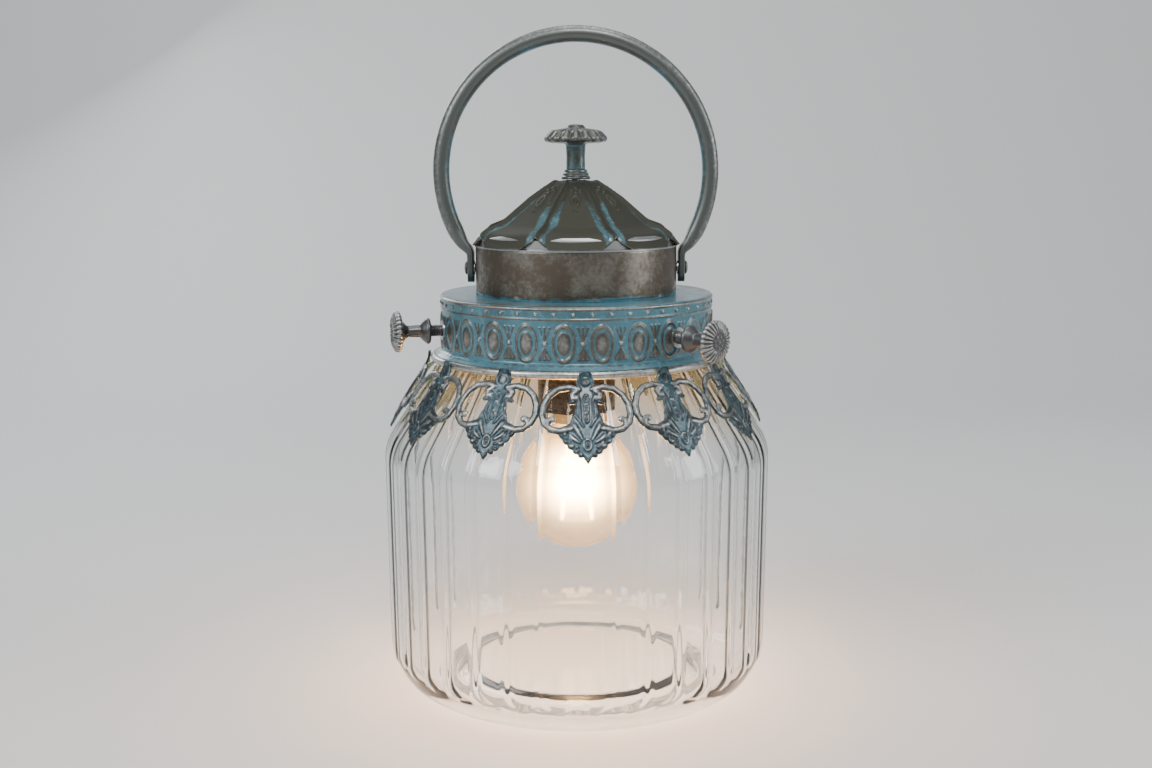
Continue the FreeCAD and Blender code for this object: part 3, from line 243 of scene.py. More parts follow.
def closed_turning(radius, azimuth, height, relief=None):
    """Shell from a turned grid: ends that reach the axis close on it, otherwise the two ends join."""
    rows, columns = radius.shape
    points = to_points(radius, azimuth, height)
    values = np.full((rows, columns), 0.5) if relief is None else relief
    on_axis = [abs(radius[0]).max() < ON_AXIS, abs(radius[-1]).max() < ON_AXIS]
    if not any(on_axis):
        return points.reshape(-1, 3), [grid_faces(rows, columns, wrap_rows=True)], values.ravel()
    first = 1 if on_axis[0] else 0
    last = rows - 1 if on_axis[1] else rows
    body = points[first:last].reshape(-1, 3)
    count = last - first
    faces = [grid_faces(count, columns)]
    extra, extra_values = [], []
    column = np.arange(columns)
    for end, row, edge in ((on_axis[0], 0, 0), (on_axis[1], -1, count - 1)):
        if not end:
            continue
        pole = len(body) + len(extra)
        extra.append(points[row, 0])
        extra_values.append(values[row].mean())
        here = edge * columns + column
        there = edge * columns + (column + 1) % columns
        rim = [there, here] if row == 0 else [here, there]
        faces.append(np.stack([*rim, np.full(columns, pole)], -1))
    flat = values[first:last].ravel()
    if extra:
        body = np.concatenate([body, np.array(extra)])
        flat = np.concatenate([flat, np.array(extra_values)])
    return body, faces, flat


def turned(name, corners, columns, step, shape=None):
    """Turned piece from rounded corners in millimetres; shape(radius, azimuth, height) may add relief."""
    radius, azimuth, height = ring_of(rounded(corners, step), columns)
    relief = None
    if shape:
        radius, height, relief = shape(radius, azimuth, height)
    return make_mesh(name, *closed_turning(radius, azimuth, height, relief))


def tube_faces(rows, sides):
    """Faces of rings numbered one after another, closed by a point at each end; those two come last."""
    side = np.arange(sides)
    next_side = (side + 1) % sides
    end = (rows - 1) * sides
    first, last = rows * sides, rows * sides + 1
    return [grid_faces(rows, sides), np.stack([next_side, side, np.full(sides, first)], -1),
            np.stack([end + side, end + next_side, np.full(sides, last)], -1)]


def tube_shell(path, radii, sides):
    """Shell round a path: rings square to it, closed by a point at each end."""
    path = np.asarray(path, float)
    along = np.gradient(path, axis=0)
    along /= np.linalg.norm(along, axis=1)[:, None]
    across = np.cross(BACKWARD, along)
    across /= np.linalg.norm(across, axis=1)[:, None]
    up = np.cross(along, across)
    angle = np.arange(sides) * TURN / sides
    radii = np.broadcast_to(np.asarray(radii, float), (len(path), 2))
    ring = (path[:, None, :]
            + across[:, None, :] * (np.cos(angle)[None, :, None] * radii[:, :1, None])
            + up[:, None, :] * (np.sin(angle)[None, :, None] * radii[:, 1:, None]))
    return np.concatenate([ring.reshape(-1, 3), path[:1], path[-1:]]), tube_faces(len(path), sides), None


# ---- materials ----------------------------------------------------------------------------------------


class Nodes:
    """Shorthand for wiring a node tree."""

    def __init__(self, tree):
        self.tree = tree

    def add(self, kind, **settings):
        node = self.tree.nodes.new(kind)
        for key, item in settings.items():
            setattr(node, key, item)
        return node

    def link(self, output, socket):
        self.tree.links.new(output, socket)

    def feed(self, socket, source):
        if isinstance(source, bpy.types.NodeSocket):
            self.link(source, socket)
        else:
            socket.default_value = source

    def maths(self, operation, *inputs):
        node = self.add("ShaderNodeMath", operation=operation)
        for socket, source in zip(node.inputs, inputs):
            self.feed(socket, source)
        return node.outputs[0]

    def plus(self, first, second):
        return self.maths("ADD", first, second)

    def minus(self, first, second):
        return self.maths("SUBTRACT", first, second)

    def times(self, first, second):
        return self.maths("MULTIPLY", first, second)

    def object_place(self):
        return self.add("ShaderNodeTexCoord").outputs["Object"]

    def noise(self, place, scale, detail=4.0, roughness=0.55):
        node = self.add("ShaderNodeTexNoise")
        self.link(place, node.inputs["Vector"])
        node.inputs["Scale"].default_value = scale
        node.inputs["Detail"].default_value = detail
        node.inputs["Roughness"].default_value = roughness
        return node.outputs[0]

    def ramp(self, value, low_end, high_end):
        node = self.add("ShaderNodeMapRange", interpolation_type="SMOOTHSTEP")
        self.feed(node.inputs["Value"], value)
        node.inputs["From Min"].default_value = low_end
        node.inputs["From Max"].default_value = high_end
        return node.outputs[0]

    def mix(self, factor, first, second):
        node = self.add("ShaderNodeMix", data_type="RGBA")
        self.feed(node.inputs[0], factor)
        self.feed(node.inputs[6], first)
        self.feed(node.inputs[7], second)
        return node.outputs[2]

    def mix_value(self, factor, first, second):
        node = self.add("ShaderNodeMix", data_type="FLOAT")
        self.feed(node.inputs[0], factor)
        self.feed(node.inputs[2], first)
        self.feed(node.inputs[3], second)
        return node.outputs[0]


def new_group(name, inputs, outputs):
    """Empty shader group with named inputs (kind, default) and outputs."""
    tree = bpy.data.node_groups.new(name, "ShaderNodeTree")
    for label, kind, default in inputs:
        socket = tree.interface.new_socket(label, in_out="INPUT", socket_type=kind)
        socket.default_value = default
    for label, kind in outputs:
        tree.interface.new_socket(label, in_out="OUTPUT", socket_type=kind)
    nodes = Nodes(tree)
    return tree, nodes, nodes.add("NodeGroupInput"), nodes.add("NodeGroupOutput")


BROAD, MIDDLE, FINE, GRIT = 34.0, 120.0, 520.0, 1700.0  # noise scales, waves to the metre


def patina_group():
    """Aged metal: paint keeps to the recesses, dark bronze shows on the flanks, crests are rubbed bright.

    Relief runs from 0 in a recess to 1 on a crest. Paint adds verdigris and Rub adds bright metal, which
    Blotch spreads in soft patches and Speckle in fine flecks. Height carries the pitted surface.
    """
    tree, nodes, enter, leave = new_group("aged_patina", [
        ("Relief", "NodeSocketFloat", 0.5), ("Paint", "NodeSocketFloat", 0.5),
        ("Rub", "NodeSocketFloat", 0.5), ("Blotch", "NodeSocketFloat", 0.3),
        ("Speckle", "NodeSocketFloat", 0.3),
        ("Verdigris", "NodeSocketColor", (0.066, 0.185, 0.23, 1)),
        ("Dark metal", "NodeSocketColor", (0.115, 0.105, 0.088, 1)),
        ("Bright metal", "NodeSocketColor", (0.56, 0.56, 0.53, 1)),
    ], [("Color", "NodeSocketColor"), ("Metallic", "NodeSocketFloat"), ("Roughness", "NodeSocketFloat"),
        ("Height", "NodeSocketFloat")])
    amount = enter.outputs
    place = nodes.object_place()
    fine = nodes.noise(place, FINE, 4.0, 0.65)
    grit = nodes.noise(place, GRIT, 2.0, 0.7)
    flecks = nodes.minus(fine, 0.5)
    drift = nodes.plus(nodes.times(nodes.noise(place, BROAD, 4.0, 0.5), 0.6),
                       nodes.times(nodes.noise(place, MIDDLE, 5.0, 0.6), 0.4))
    painted = nodes.plus(nodes.minus(nodes.plus(amount["Paint"], drift), amount["Relief"]),
                         nodes.times(flecks, 0.35))
    paint = nodes.ramp(painted, 0.34, 0.62)
    patches = nodes.times(nodes.minus(drift, 0.5), nodes.times(amount["Blotch"], 6.0))
    speckles = nodes.times(flecks, nodes.times(amount["Speckle"], 3.0))
    worn = nodes.plus(nodes.minus(amount["Relief"], 1.0), amount["Rub"])
    bright = nodes.ramp(nodes.plus(nodes.plus(worn, patches), speckles), 0.22, 0.92)
    metal = nodes.mix(bright, amount["Dark metal"], amount["Bright metal"])
    shadowed = nodes.mix(0.45, amount["Verdigris"], (0.012, 0.03, 0.035, 1))
    deep = nodes.mix(nodes.ramp(drift, 0.38, 0.58), shadowed, amount["Verdigris"])
    chalk = nodes.times(nodes.ramp(fine, 0.50, 0.72), 0.28)
    dusty = nodes.mix(chalk, deep, (0.26, 0.40, 0.44, 1))
    cover = nodes.times(paint, nodes.minus(1.0, nodes.times(bright, 0.8)))
    nodes.link(nodes.mix(cover, metal, dusty), leave.inputs["Color"])
    nodes.link(nodes.minus(1.0, nodes.times(cover, 0.70)), leave.inputs["Metallic"])
    rough = nodes.mix_value(cover, nodes.mix_value(bright, 0.48, 0.30), 0.44)
    nodes.link(nodes.plus(rough, nodes.times(nodes.minus(grit, 0.5), 0.16)), leave.inputs["Roughness"])
    pits = nodes.plus(nodes.times(fine, 0.65), nodes.times(grit, 0.35))
    nodes.link(nodes.plus(pits, nodes.times(cover, 0.35)), leave.inputs["Height"])
    return tree


def grain_group():
    """Faint blotches and fine grain for plain moulded or machined finishes: masks from 0 to 1."""
    tree, nodes, enter, leave = new_group("fine_grain", [
        ("Scale", "NodeSocketFloat", 400.0)], [("Blotch", "NodeSocketFloat"), ("Grain", "NodeSocketFloat")])
    place = nodes.object_place()
    nodes.link(nodes.ramp(nodes.noise(place, 60.0, 3.0), 0.3, 0.7), leave.inputs["Blotch"])
    grain = nodes.add("ShaderNodeTexNoise")
    nodes.link(place, grain.inputs["Vector"])
    nodes.link(enter.outputs["Scale"], grain.inputs["Scale"])
    grain.inputs["Detail"].default_value = 3.0
    nodes.link(grain.outputs[0], leave.inputs["Grain"])
    return tree


def blown_group():
    """Blown glass: Smear is a mask of faint greasy patches, Ripple the height of its slow waves."""
    tree, nodes, _, leave = new_group("blown_surface", [], [
        ("Smear", "NodeSocketFloat"), ("Ripple", "NodeSocketFloat")])
    place = nodes.object_place()
    nodes.link(nodes.ramp(nodes.noise(place, 45.0, 4.0, 0.6), 0.5, 0.8), leave.inputs["Smear"])
    nodes.link(nodes.noise(place, 90.0, 2.0), leave.inputs["Ripple"])
    return tree


PATINA = patina_group()
GRAIN = grain_group()
BLOWN = blown_group()


def new_material(name):
    """Empty material with its node shorthand and its Principled shader."""
    material = bpy.data.materials.new(name)
    material.use_nodes = True
    nodes = Nodes(material.node_tree)
    shader = material.node_tree.nodes["Principled BSDF"]
    return material, nodes, shader


def add_bump(nodes, shader, height, strength, distance):
    """Bump from a height output into the shader's Normal."""
    node = nodes.add("ShaderNodeBump")
    node.inputs["Strength"].default_value = strength
    node.inputs["Distance"].default_value = distance
    nodes.link(height, node.inputs["Height"])
    nodes.link(node.outputs["Normal"], shader.inputs["Normal"])


def patina_material(name, paint, rub, blotch=0.1, speckle=0.2, verdigris=None, dark=None, bright=None,
                    pitting=0.25, coat=0.5, satin=0.0):
    """Aged metal driven by the piece's relief attribute, under a thin lacquer; satin adds roughness."""
    material, nodes, shader = new_material(name)
    group = nodes.add("ShaderNodeGroup", node_tree=PATINA)
    relief = nodes.add("ShaderNodeAttribute", attribute_name="relief")
    nodes.link(relief.outputs["Fac"], group.inputs["Relief"])
    for label, amount in (("Paint", paint), ("Rub", rub), ("Blotch", blotch), ("Speckle", speckle)):
        group.inputs[label].default_value = amount
    for label, colour in (("Verdigris", verdigris), ("Dark metal", dark), ("Bright metal", bright)):
        if colour:
            group.inputs[label].default_value = (*colour, 1)
    nodes.link(group.outputs["Color"], shader.inputs["Base Color"])
    nodes.link(group.outputs["Metallic"], shader.inputs["Metallic"])
    nodes.link(nodes.plus(group.outputs["Roughness"], satin), shader.inputs["Roughness"])
    add_bump(nodes, shader, group.outputs["Height"], pitting, 0.4 * MM)
    shader.inputs["Coat Weight"].default_value = coat
    shader.inputs["Coat Roughness"].default_value = 0.12
    return material


def plain_material(name, colour, second, metallic, roughness, scale=400.0):
    """Moulded or machined finish: two close colours in faint blotches, a fine grain in roughness and bump."""
    material, nodes, shader = new_material(name)
    group = nodes.add("ShaderNodeGroup", node_tree=GRAIN)
    group.inputs["Scale"].default_value = scale
    nodes.link(nodes.mix(group.outputs["Blotch"], (*colour, 1), (*second, 1)), shader.inputs["Base Color"])
    shader.inputs["Metallic"].default_value = metallic
    nodes.link(nodes.mix_value(group.outputs["Grain"], roughness - 0.08, roughness + 0.08),
               shader.inputs["Roughness"])
    add_bump(nodes, shader, group.outputs["Grain"], 0.08, 0.2 * MM)
    return material


def glass_material(name, tint, roughness, wave, shadow_tint, edge=None, warm=None, glow=None):
    """Clear glass with a slight ripple; it lets shadow rays through, tinted.

    edge is the colour towards grazing angles. warm is (colour, low, high): painted bulb glow, an amber tint that
    comes in between two heights and stands in for the bulb's light carried up through the thick shoulder glass.
    glow is (colour, strength, height, reach, sharpness): light scattered where the glass faces you.
    """
    material, nodes, shader = new_material(name)
    shader.inputs["Transmission Weight"].default_value = 1.0
    shader.inputs["IOR"].default_value = 1.48
    group = nodes.add("ShaderNodeGroup", node_tree=BLOWN)
    facing = nodes.add("ShaderNodeLayerWeight").outputs["Facing"]
    split = nodes.add("ShaderNodeSeparateXYZ")
    nodes.link(nodes.object_place(), split.inputs[0])
    colour = (*tint, 1)
    # warm paints light into the glass colour: painted bulb glow, an amber tint that fades in with height
    if warm:
        painted_glow_tint, painted_glow_low, painted_glow_high = warm
        colour = nodes.mix(nodes.ramp(split.outputs["Z"], painted_glow_low, painted_glow_high), colour, (*painted_glow_tint, 1))
    if edge:
        colour = nodes.mix(nodes.maths("POWER", facing, 3.0), colour, (*edge, 1))
    nodes.feed(shader.inputs["Base Color"], colour)
    greasy = nodes.mix_value(group.outputs["Smear"], roughness, roughness + 0.03)
    nodes.link(greasy, shader.inputs["Roughness"])
    add_bump(nodes, shader, group.outputs["Ripple"], wave, 0.6 * MM)
    if glow:
        glow_colour, strength, height, reach_up, sharpness = glow
        front = nodes.maths("POWER", nodes.minus(1.0, facing), sharpness)
        away = nodes.maths("ABSOLUTE", nodes.minus(split.outputs["Z"], height))
        near = nodes.minus(1.0, nodes.ramp(away, 0.0, reach_up))
        nodes.link(nodes.mix(nodes.times(front, near), (0, 0, 0, 1), (*glow_colour, 1)),
                   shader.inputs["Emission Color"])
        shader.inputs["Emission Strength"].default_value = strength
    clear = nodes.add("ShaderNodeBsdfTransparent")
    clear.inputs["Color"].default_value = (*shadow_tint, 1)
    rays = nodes.add("ShaderNodeLightPath")
    both = nodes.add("ShaderNodeMixShader")
    nodes.link(rays.outputs["Is Shadow Ray"], both.inputs[0])
    nodes.link(shader.outputs[0], both.inputs[1])
    nodes.link(clear.outputs[0], both.inputs[2])
    nodes.link(both.outputs[0], material.node_tree.nodes["Material Output"].inputs["Surface"])
    return material


def glow_material(name, colour, strength):
    """Lit filament: a warm emitter, a little uneven along its length."""
    material, nodes, shader = new_material(name)
    beads = nodes.noise(nodes.object_place(), 900.0, 1.0)
    nodes.link(nodes.mix(beads, (*colour, 1), (1.0, 0.86, 0.6, 1)), shader.inputs["Emission Color"])
    shader.inputs["Emission Strength"].default_value = strength
    shader.inputs["Base Color"].default_value = (*colour, 1)
    return material


COLLAR_METAL = patina_material("verdigris_band", paint=0.42, rub=0.62)
RING_METAL = patina_material("worn_ring", paint=0.25, rub=0.90, blotch=0.15, speckle=0.4)
SKIRT_METAL = patina_material("worn_filigree", paint=0.58, rub=0.55, blotch=0.06, speckle=0.25,
                              verdigris=(0.019, 0.064, 0.084), dark=(0.035, 0.045, 0.05), pitting=0.35,
                              coat=0.4)
ROOF_METAL = patina_material("dark_roof", paint=0.17, rub=0.40, blotch=0.12, speckle=0.15,
                             verdigris=(0.045, 0.12, 0.14), dark=(0.072, 0.072, 0.058), pitting=0.15,
                             coat=0.0, satin=0.26)
DRUM_METAL = patina_material("bronze_drum", paint=0.15, rub=0.84, blotch=0.50, speckle=0.35,
                             dark=(0.125, 0.102, 0.078), bright=(0.30, 0.275, 0.235), coat=0.1)
BAIL_METAL = patina_material("worn_handle", paint=0.18, rub=0.62, blotch=0.12, speckle=0.3,
                             dark=(0.13, 0.14, 0.13), coat=0.3)
KNOB_METAL = patina_material("gunmetal_knob", paint=0.08, rub=0.66, dark=(0.10, 0.10, 0.10))
FINIAL_METAL = patina_material("finial_metal", paint=0.28, rub=0.55, dark=(0.105, 0.11, 0.095))
# The jar's warm tint is painted bulb glow: amber from 122 mm up stands in for the bulb's light caught in the
# thick shoulder glass
JAR_GLASS = glass_material("clear_jar_glass", (0.985, 0.985, 0.975), 0.0, 0.04, (0.95, 0.955, 0.945),
                           edge=(0.62, 0.71, 0.66), warm=((0.98, 0.76, 0.52), 0.122, 0.160))
BULB_GLASS = glass_material("amber_bulb_glass", (1.0, 0.90, 0.72), 0.16, 0.03, (1.0, 0.93, 0.82),
                            edge=(0.90, 0.62, 0.34), glow=((1.0, 0.66, 0.34), 13.0, 0.106, 0.034, 12.0))
CLEAR_GLASS = glass_material("bulb_stem_glass", (0.98, 0.98, 0.97), 0.0, 0.02, (0.97, 0.97, 0.97))
FILAMENT_GLOW = glow_material("filament_glow", (1.0, 0.62, 0.30), 60.0)
STEEL = plain_material("zinc_steel", (0.55, 0.55, 0.54), (0.47, 0.47, 0.46), 1.0, 0.34)
BRASS = plain_material("plain_brass", (0.62, 0.47, 0.22), (0.53, 0.39, 0.18), 1.0, 0.30)
RUBBER = plain_material("seat_rubber", (0.03, 0.03, 0.03), (0.045, 0.045, 0.045), 0.0, 0.75)
BLACK_PLASTIC = plain_material("black_plastic", (0.025, 0.025, 0.027), (0.035, 0.035, 0.037), 0.0, 0.48,
                               700.0)
HOLDER_PLASTIC = plain_material("holder_plastic", (0.03, 0.024, 0.02), (0.045, 0.034, 0.028), 0.0, 0.28)
PALE_PLASTIC = plain_material("pale_plastic", (0.62, 0.60, 0.54), (0.57, 0.55, 0.50), 0.0, 0.45, 700.0)
CELL_WRAP = plain_material("cell_wrap", (0.035, 0.11, 0.22), (0.045, 0.13, 0.25), 0.2, 0.30)
WIRE_COVER = plain_material("wire_cover", (0.30, 0.02, 0.015), (0.25, 0.015, 0.012), 0.0, 0.5)


def dress(piece, material, body, replaces=()):
    """Give a piece its material, the body it rides on and the nodes it stands for."""
    piece.data.materials.clear()
    piece.data.materials.append(material)
    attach(piece, body)
    if replaces:
        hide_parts(*replaces)


# ---- jar ----------------------------------------------------------------------------------------------

# jar dimensions in millimetres
FLUTES = 36
COLUMNS_PER_FLUTE = 14
FLUTE_FOOT = 15.0
VALLEY_HALF = 1.0
VALLEY_DEPTH = {"outer": 0.62, "inner": 0.58}
RIB_CROWN = 0.12
SKIN_INSET = 0.24
SLUMP = 0.10
FADE_LOW, FADE_HIGH = 168.0, 182.0
GLASS_WALL = 3.5
NECK_RADIUS = 60.5
NECK_BORE = 57.2
INSIDE_BOTTOM = 4.2


def around(radius, azimuth, height, seed, scale):
    """Noise over a turned surface, read at its points in space so that it has no seam."""
    return wander(radius * np.sin(azimuth), radius * np.cos(azimuth), height, seed, scale)


def jar_shape(radius, azimuth, height, outer):
    """Ribs between narrow valleys: panels with a half-round foot above the heel, fading out in the neck.

    The valley is how far a point lies outside its panel, from 0 to 1. Both skins follow it, which keeps the
    wall even.
    """
    pitch = TURN / FLUTES
    across = (azimuth % pitch - pitch / 2) * JAR_RADIUS / MM
    corner = pitch / 2 * JAR_RADIUS / MM - VALLEY_HALF
    below = np.clip(FLUTE_FOOT - height / MM + corner, 0, None)
    spread = np.hypot(across, below)
    valley = smooth_step(corner - 1.1, corner + 0.95, spread)
    crown = RIB_CROWN * (1 - np.clip(spread / corner, 0, 1) ** 2)
    faded = 1 - smooth_step(FADE_LOW * MM, FADE_HIGH * MM, height)
    side_wall = radius > (NECK_BORE - 0.2) * MM
    slump = around(radius, azimuth, height, 3, 0.09) * SLUMP * MM
    depth = np.where(outer, VALLEY_DEPTH["outer"], VALLEY_DEPTH["inner"])
    lift = (crown - SKIN_INSET - valley * depth) * faded * MM
    heel = smooth_step(3 * MM, 12 * MM, height)
    return radius + np.where(side_wall, lift * heel - np.abs(slump), 0), height


def make_jar():
    """Blown glass jar: the outer skin from the push-up to the rim, then the inner skin back to the axis."""
    top = JAR_RIM / MM
    radius = JAR_RADIUS / MM
    bore = radius - GLASS_WALL
    outer = rounded([
        (0, 3.0, 0), (54.0, 3.0, 6, 9.0), (NECK_RADIUS, 0.0, 3.0), (radius - 1.3, 0.0, 22.0, 5.0),
        (radius - 0.9, 36.0, 0, 1.1), (radius, 121.0, 24.0, 6.0), (NECK_RADIUS, 167.8, 14.0, 3.0),
        (NECK_RADIUS, top, 0, 3.0)], 1.7)
    inner = rounded([
        (NECK_BORE, top, 0), (NECK_BORE, 166.7, 17.0, 4.0), (bore, 118.8, 20.0, 4.0),
        (bore - 0.9, 36.0, 0, 8.0), (bore - 1.4, INSIDE_BOTTOM, 19.0, 2.2), (60.0, INSIDE_BOTTOM, 10.0, 5.0),
        (50.0, 7.6, 14.0, 4.0), (0, 7.0, 0, 9.0)], 2.4)
    rim = rounded([(NECK_RADIUS, top, 0), (59.8, top, 0.0), (NECK_BORE, top, 0)], 1.2)[1:-1]
    profile = np.concatenate([outer, rim, inner])
    r, a, z = ring_of(profile, FLUTES * COLUMNS_PER_FLUTE)
    r, z = jar_shape(r, a, z, np.arange(len(profile))[:, None] < len(outer))
    jar = make_mesh("fluted_glass_jar", *closed_turning(r, a, z))
    dress(jar, JAR_GLASS, "jar", ["glass_jar"])


# ---- collar band --------------------------------------------------------------------------------------

# embossing round the band: counts, and heights above the foot in millimetres
OVALS = 24
OVAL_PHASE = math.radians(-4.8)
BEADS = 48
DASHES = 96
OVAL_HEIGHT = 175.1
BEAD_HEIGHT = 188.0
LOWER_LINE, UPPER_LINE = 185.8, 190.4
DASH_HEIGHT = 165.3
EMBOSSING = 0.80
COLUMNS_PER_OVAL = 31
SHEET = 1.6
INNER_ROW_SKIP = 12
FLANGE_BORE = 40.0


def oval_relief(x, y, half_x, half_y, ring):
    """Domed oval inside a raised oval ring: height of both in millimetres."""
    spread = np.sqrt((x / half_x) ** 2 + (y / half_y) ** 2)
    middle = 0.95 * dome(spread, 0.66)
    edge = 0.85 * bump(spread, 0.93, ring)
    return np.maximum(middle, edge)


def stroke(x, y, ax, ay, bx, by, r0, r1):
    """Signed distance to a tapered stroke from a to b, in millimetres."""
    dx, dy = bx - ax, by - ay
    t = np.clip(((x - ax) * dx + (y - ay) * dy) / (dx * dx + dy * dy), 0, 1)
    return np.hypot(x - ax - dx * t, y - ay - dy * t) - (r0 + (r1 - r0) * t)


def fan_relief(x, y):
    """Three rays up and three drops down from a dot, each a low rounded ridge."""
    total = np.zeros_like(x)
    for tip in (-2.2, 0.0, 2.2):
        up = stroke(np.abs(x), y, 0.35, 1.2, abs(tip), 7.0, 0.25, 0.62)
        total = np.maximum(total, 0.6 * dome(np.clip(up + 0.75, 0, None), 0.75))
        down = stroke(np.abs(x), y, 0.3, -1.6, abs(tip) * 0.95, -6.6, 0.2, 0.95)
        total = np.maximum(total, 0.7 * dome(np.clip(down + 0.95, 0, None), 0.95))
    dot = np.hypot(x, y)
    return np.maximum(total, dome(dot, 1.15))


def from_middle(azimuth, count, phase=0.0):
    """Arc length in millimetres from the nearest of so many middles round the band."""
    pitch = TURN / count
    return ((azimuth - phase + pitch / 2) % pitch - pitch / 2) * COLLAR_RADIUS / MM


def band_shape(radius, azimuth, height):
    """Embossing on the band: bead row under two raised lines, ovals with fans between, a dashed groove."""
    z = height / MM
    half_pitch = TURN / OVALS / 2
    half_bead = TURN / BEADS / 2
    ovals = oval_relief(from_middle(azimuth, OVALS, OVAL_PHASE), z - OVAL_HEIGHT, 5.1, 8.4, 0.20)
    fans = fan_relief(from_middle(azimuth, OVALS, OVAL_PHASE + half_pitch), z - OVAL_HEIGHT)
    bead_x = from_middle(azimuth, BEADS, OVAL_PHASE + half_bead)
    beads = 0.85 * dome(np.hypot(bead_x, z - BEAD_HEIGHT), 0.95)
    lines = 0.55 * bump(z, LOWER_LINE, 0.75) + 0.75 * bump(z, UPPER_LINE, 1.0)
    dash_pitch = TURN / DASHES
    dash_x = (azimuth % dash_pitch / dash_pitch - 0.5) * 2
    dashes = 0.3 * bump(z, DASH_HEIGHT, 0.6) * smooth_step(0.75, 0.55, np.abs(dash_x))
    embossed = np.maximum.reduce([ovals, fans, beads, lines, dashes])
    crest = np.maximum.reduce([ovals * 0.78, fans * 0.95, beads * 1.25, lines * 1.15, dashes])
    outside = radius > COLLAR_RADIUS - 0.6 * MM
    dents = around(radius, azimuth, height, 11, 0.03) * 0.07 * MM
    lift = np.where(outside, embossed * EMBOSSING * MM + dents, 0)
    relief = np.where(outside, 0.20 + 0.80 * np.clip(crest / 0.85, 0, 1), 0.45)
    return radius + lift - EMBOSSING / 2 * MM * outside, height, relief


def make_band():
    """Spun collar: flange, band and flared foot in one shell, embossed outside, with fewer rows inside."""
    top = FLANGE_TOP / MM
    outer = COLLAR_RADIUS / MM
    foot = RING_TOP / MM
    bore = outer - SHEET
    under = top - 1.5
    profile = rounded([
        (FLANGE_BORE, under, 0), (bore, under, 0), (bore, foot + 2.4, 0), (67.0, foot, 0),
        (68.6, foot, 0), (outer, foot + 2.6, 1.5), (outer, top, 0.9), (FLANGE_BORE, top, 0)], 0.27)
    inner_side = profile[:, 0] < (outer - 1.0) * MM
    keep = ~inner_side | (np.arange(len(profile)) % INNER_ROW_SKIP == 0)
    keep[0] = keep[-1] = True
    profile = profile[keep]
    r, a, z = ring_of(profile, OVALS * COLUMNS_PER_OVAL)
    r, z, relief = band_shape(r, a, z)
    flange = (z > (top - 0.4) * MM) & (r < (outer - 1.5) * MM)
    relief = np.where(flange, 0.34 + 0.36 * smooth_step(59.5 * MM, 64.0 * MM, r), relief)
    band = make_mesh("embossed_collar", *closed_turning(r, a, z, relief))
    dress(band, COLLAR_METAL, "head", ["collar_band"])


def make_ring():
    """Rolled wire ring under the band, rubbed bright along its outer crest."""
    reach_mm = RING_REACH / MM
    middle = (RING_LOW + RING_TOP) / 2 / MM
    tube = (RING_TOP - RING_LOW) / 2 / MM
    angle = np.linspace(0, TURN, 20, endpoint=False)
    profile = np.stack([reach_mm - tube + tube * np.cos(angle), middle + tube * np.sin(angle)], -1) * MM
    r, a, z = ring_of(profile, 480)
    dents = around(r, a, z, 21, 0.02) * 0.06 * MM
    relief = 0.35 + 0.5 * smooth_step(-0.2, 1.0, np.cos(angle))[:, None] + 0 * a
    ring = make_mesh("rolled_ring", *closed_turning(r - np.abs(dents), a, z, relief))
    dress(ring, RING_METAL, "head", ["skirt_ring"])


# ---- filigree skirt -----------------------------------------------------------------------------------

PENDANTS = 12
PENDANT_PHASE = math.radians(3.2)
SCROLLS = [
    # tapered strokes of one half of a pendant: (x, y, radius) along each, y down from the ring, millimetres
    [(0.0, 1.2, 3.0), (0.0, 4.2, 4.0), (0.0, 8.0, 3.4)],
    [(3.0, 7.4, 1.5), (7.5, 6.3, 1.45), (12.3, 7.3, 1.4), (16.2, 10.6, 1.4), (18.6, 15.0, 1.45),
     (19.4, 19.6, 1.6), (18.4, 23.6, 1.5), (15.6, 26.2, 1.5), (11.8, 26.9, 1.6), (7.0, 25.8, 2.4)],
    [(4.0, 8.2, 1.3), (6.0, 9.6, 1.4), (5.6, 11.6, 1.3), (4.0, 11.6, 1.2)],
    [(17.4, 24.6, 1.3), (16.6, 22.2, 1.3), (14.9, 21.8, 1.5)],
    [(0.0, 8.0, 3.6), (0.0, 13.0, 4.3), (0.0, 18.0, 5.4), (0.0, 23.0, 7.0), (0.0, 27.5, 8.6)],
    [(5.2, 12.9, 1.2), (6.9, 13.6, 0.9)],
    [(0.0, 27.5, 8.6), (0.0, 31.0, 6.6), (0.0, 35.0, 3.9), (0.0, 38.5, 1.8), (0.0, 40.6, 0.7)],
]
SCALLOPS = [(10.4, 28.4, 2.0), (8.9, 30.9, 1.9), (7.0, 33.3, 1.8), (5.0, 35.5, 1.6), (3.1, 37.4, 1.3)]


def pendant_edge(x, y):
    """Signed distance to the pendant's outline: the nearest of its strokes and scallops, mirrored in x."""
    side = np.abs(x)
    nearest = np.full(np.shape(x), 99.0)
    for line in SCROLLS:
        for (ax, ay, ar), (bx, by, br) in zip(line, line[1:]):
            nearest = np.minimum(nearest, stroke(side, y, ax, ay, bx, by, ar, br))
    for cx, cy, radius in SCALLOPS:
        nearest = np.minimum(nearest, np.hypot(side - cx, y - cy) - radius)
    return nearest


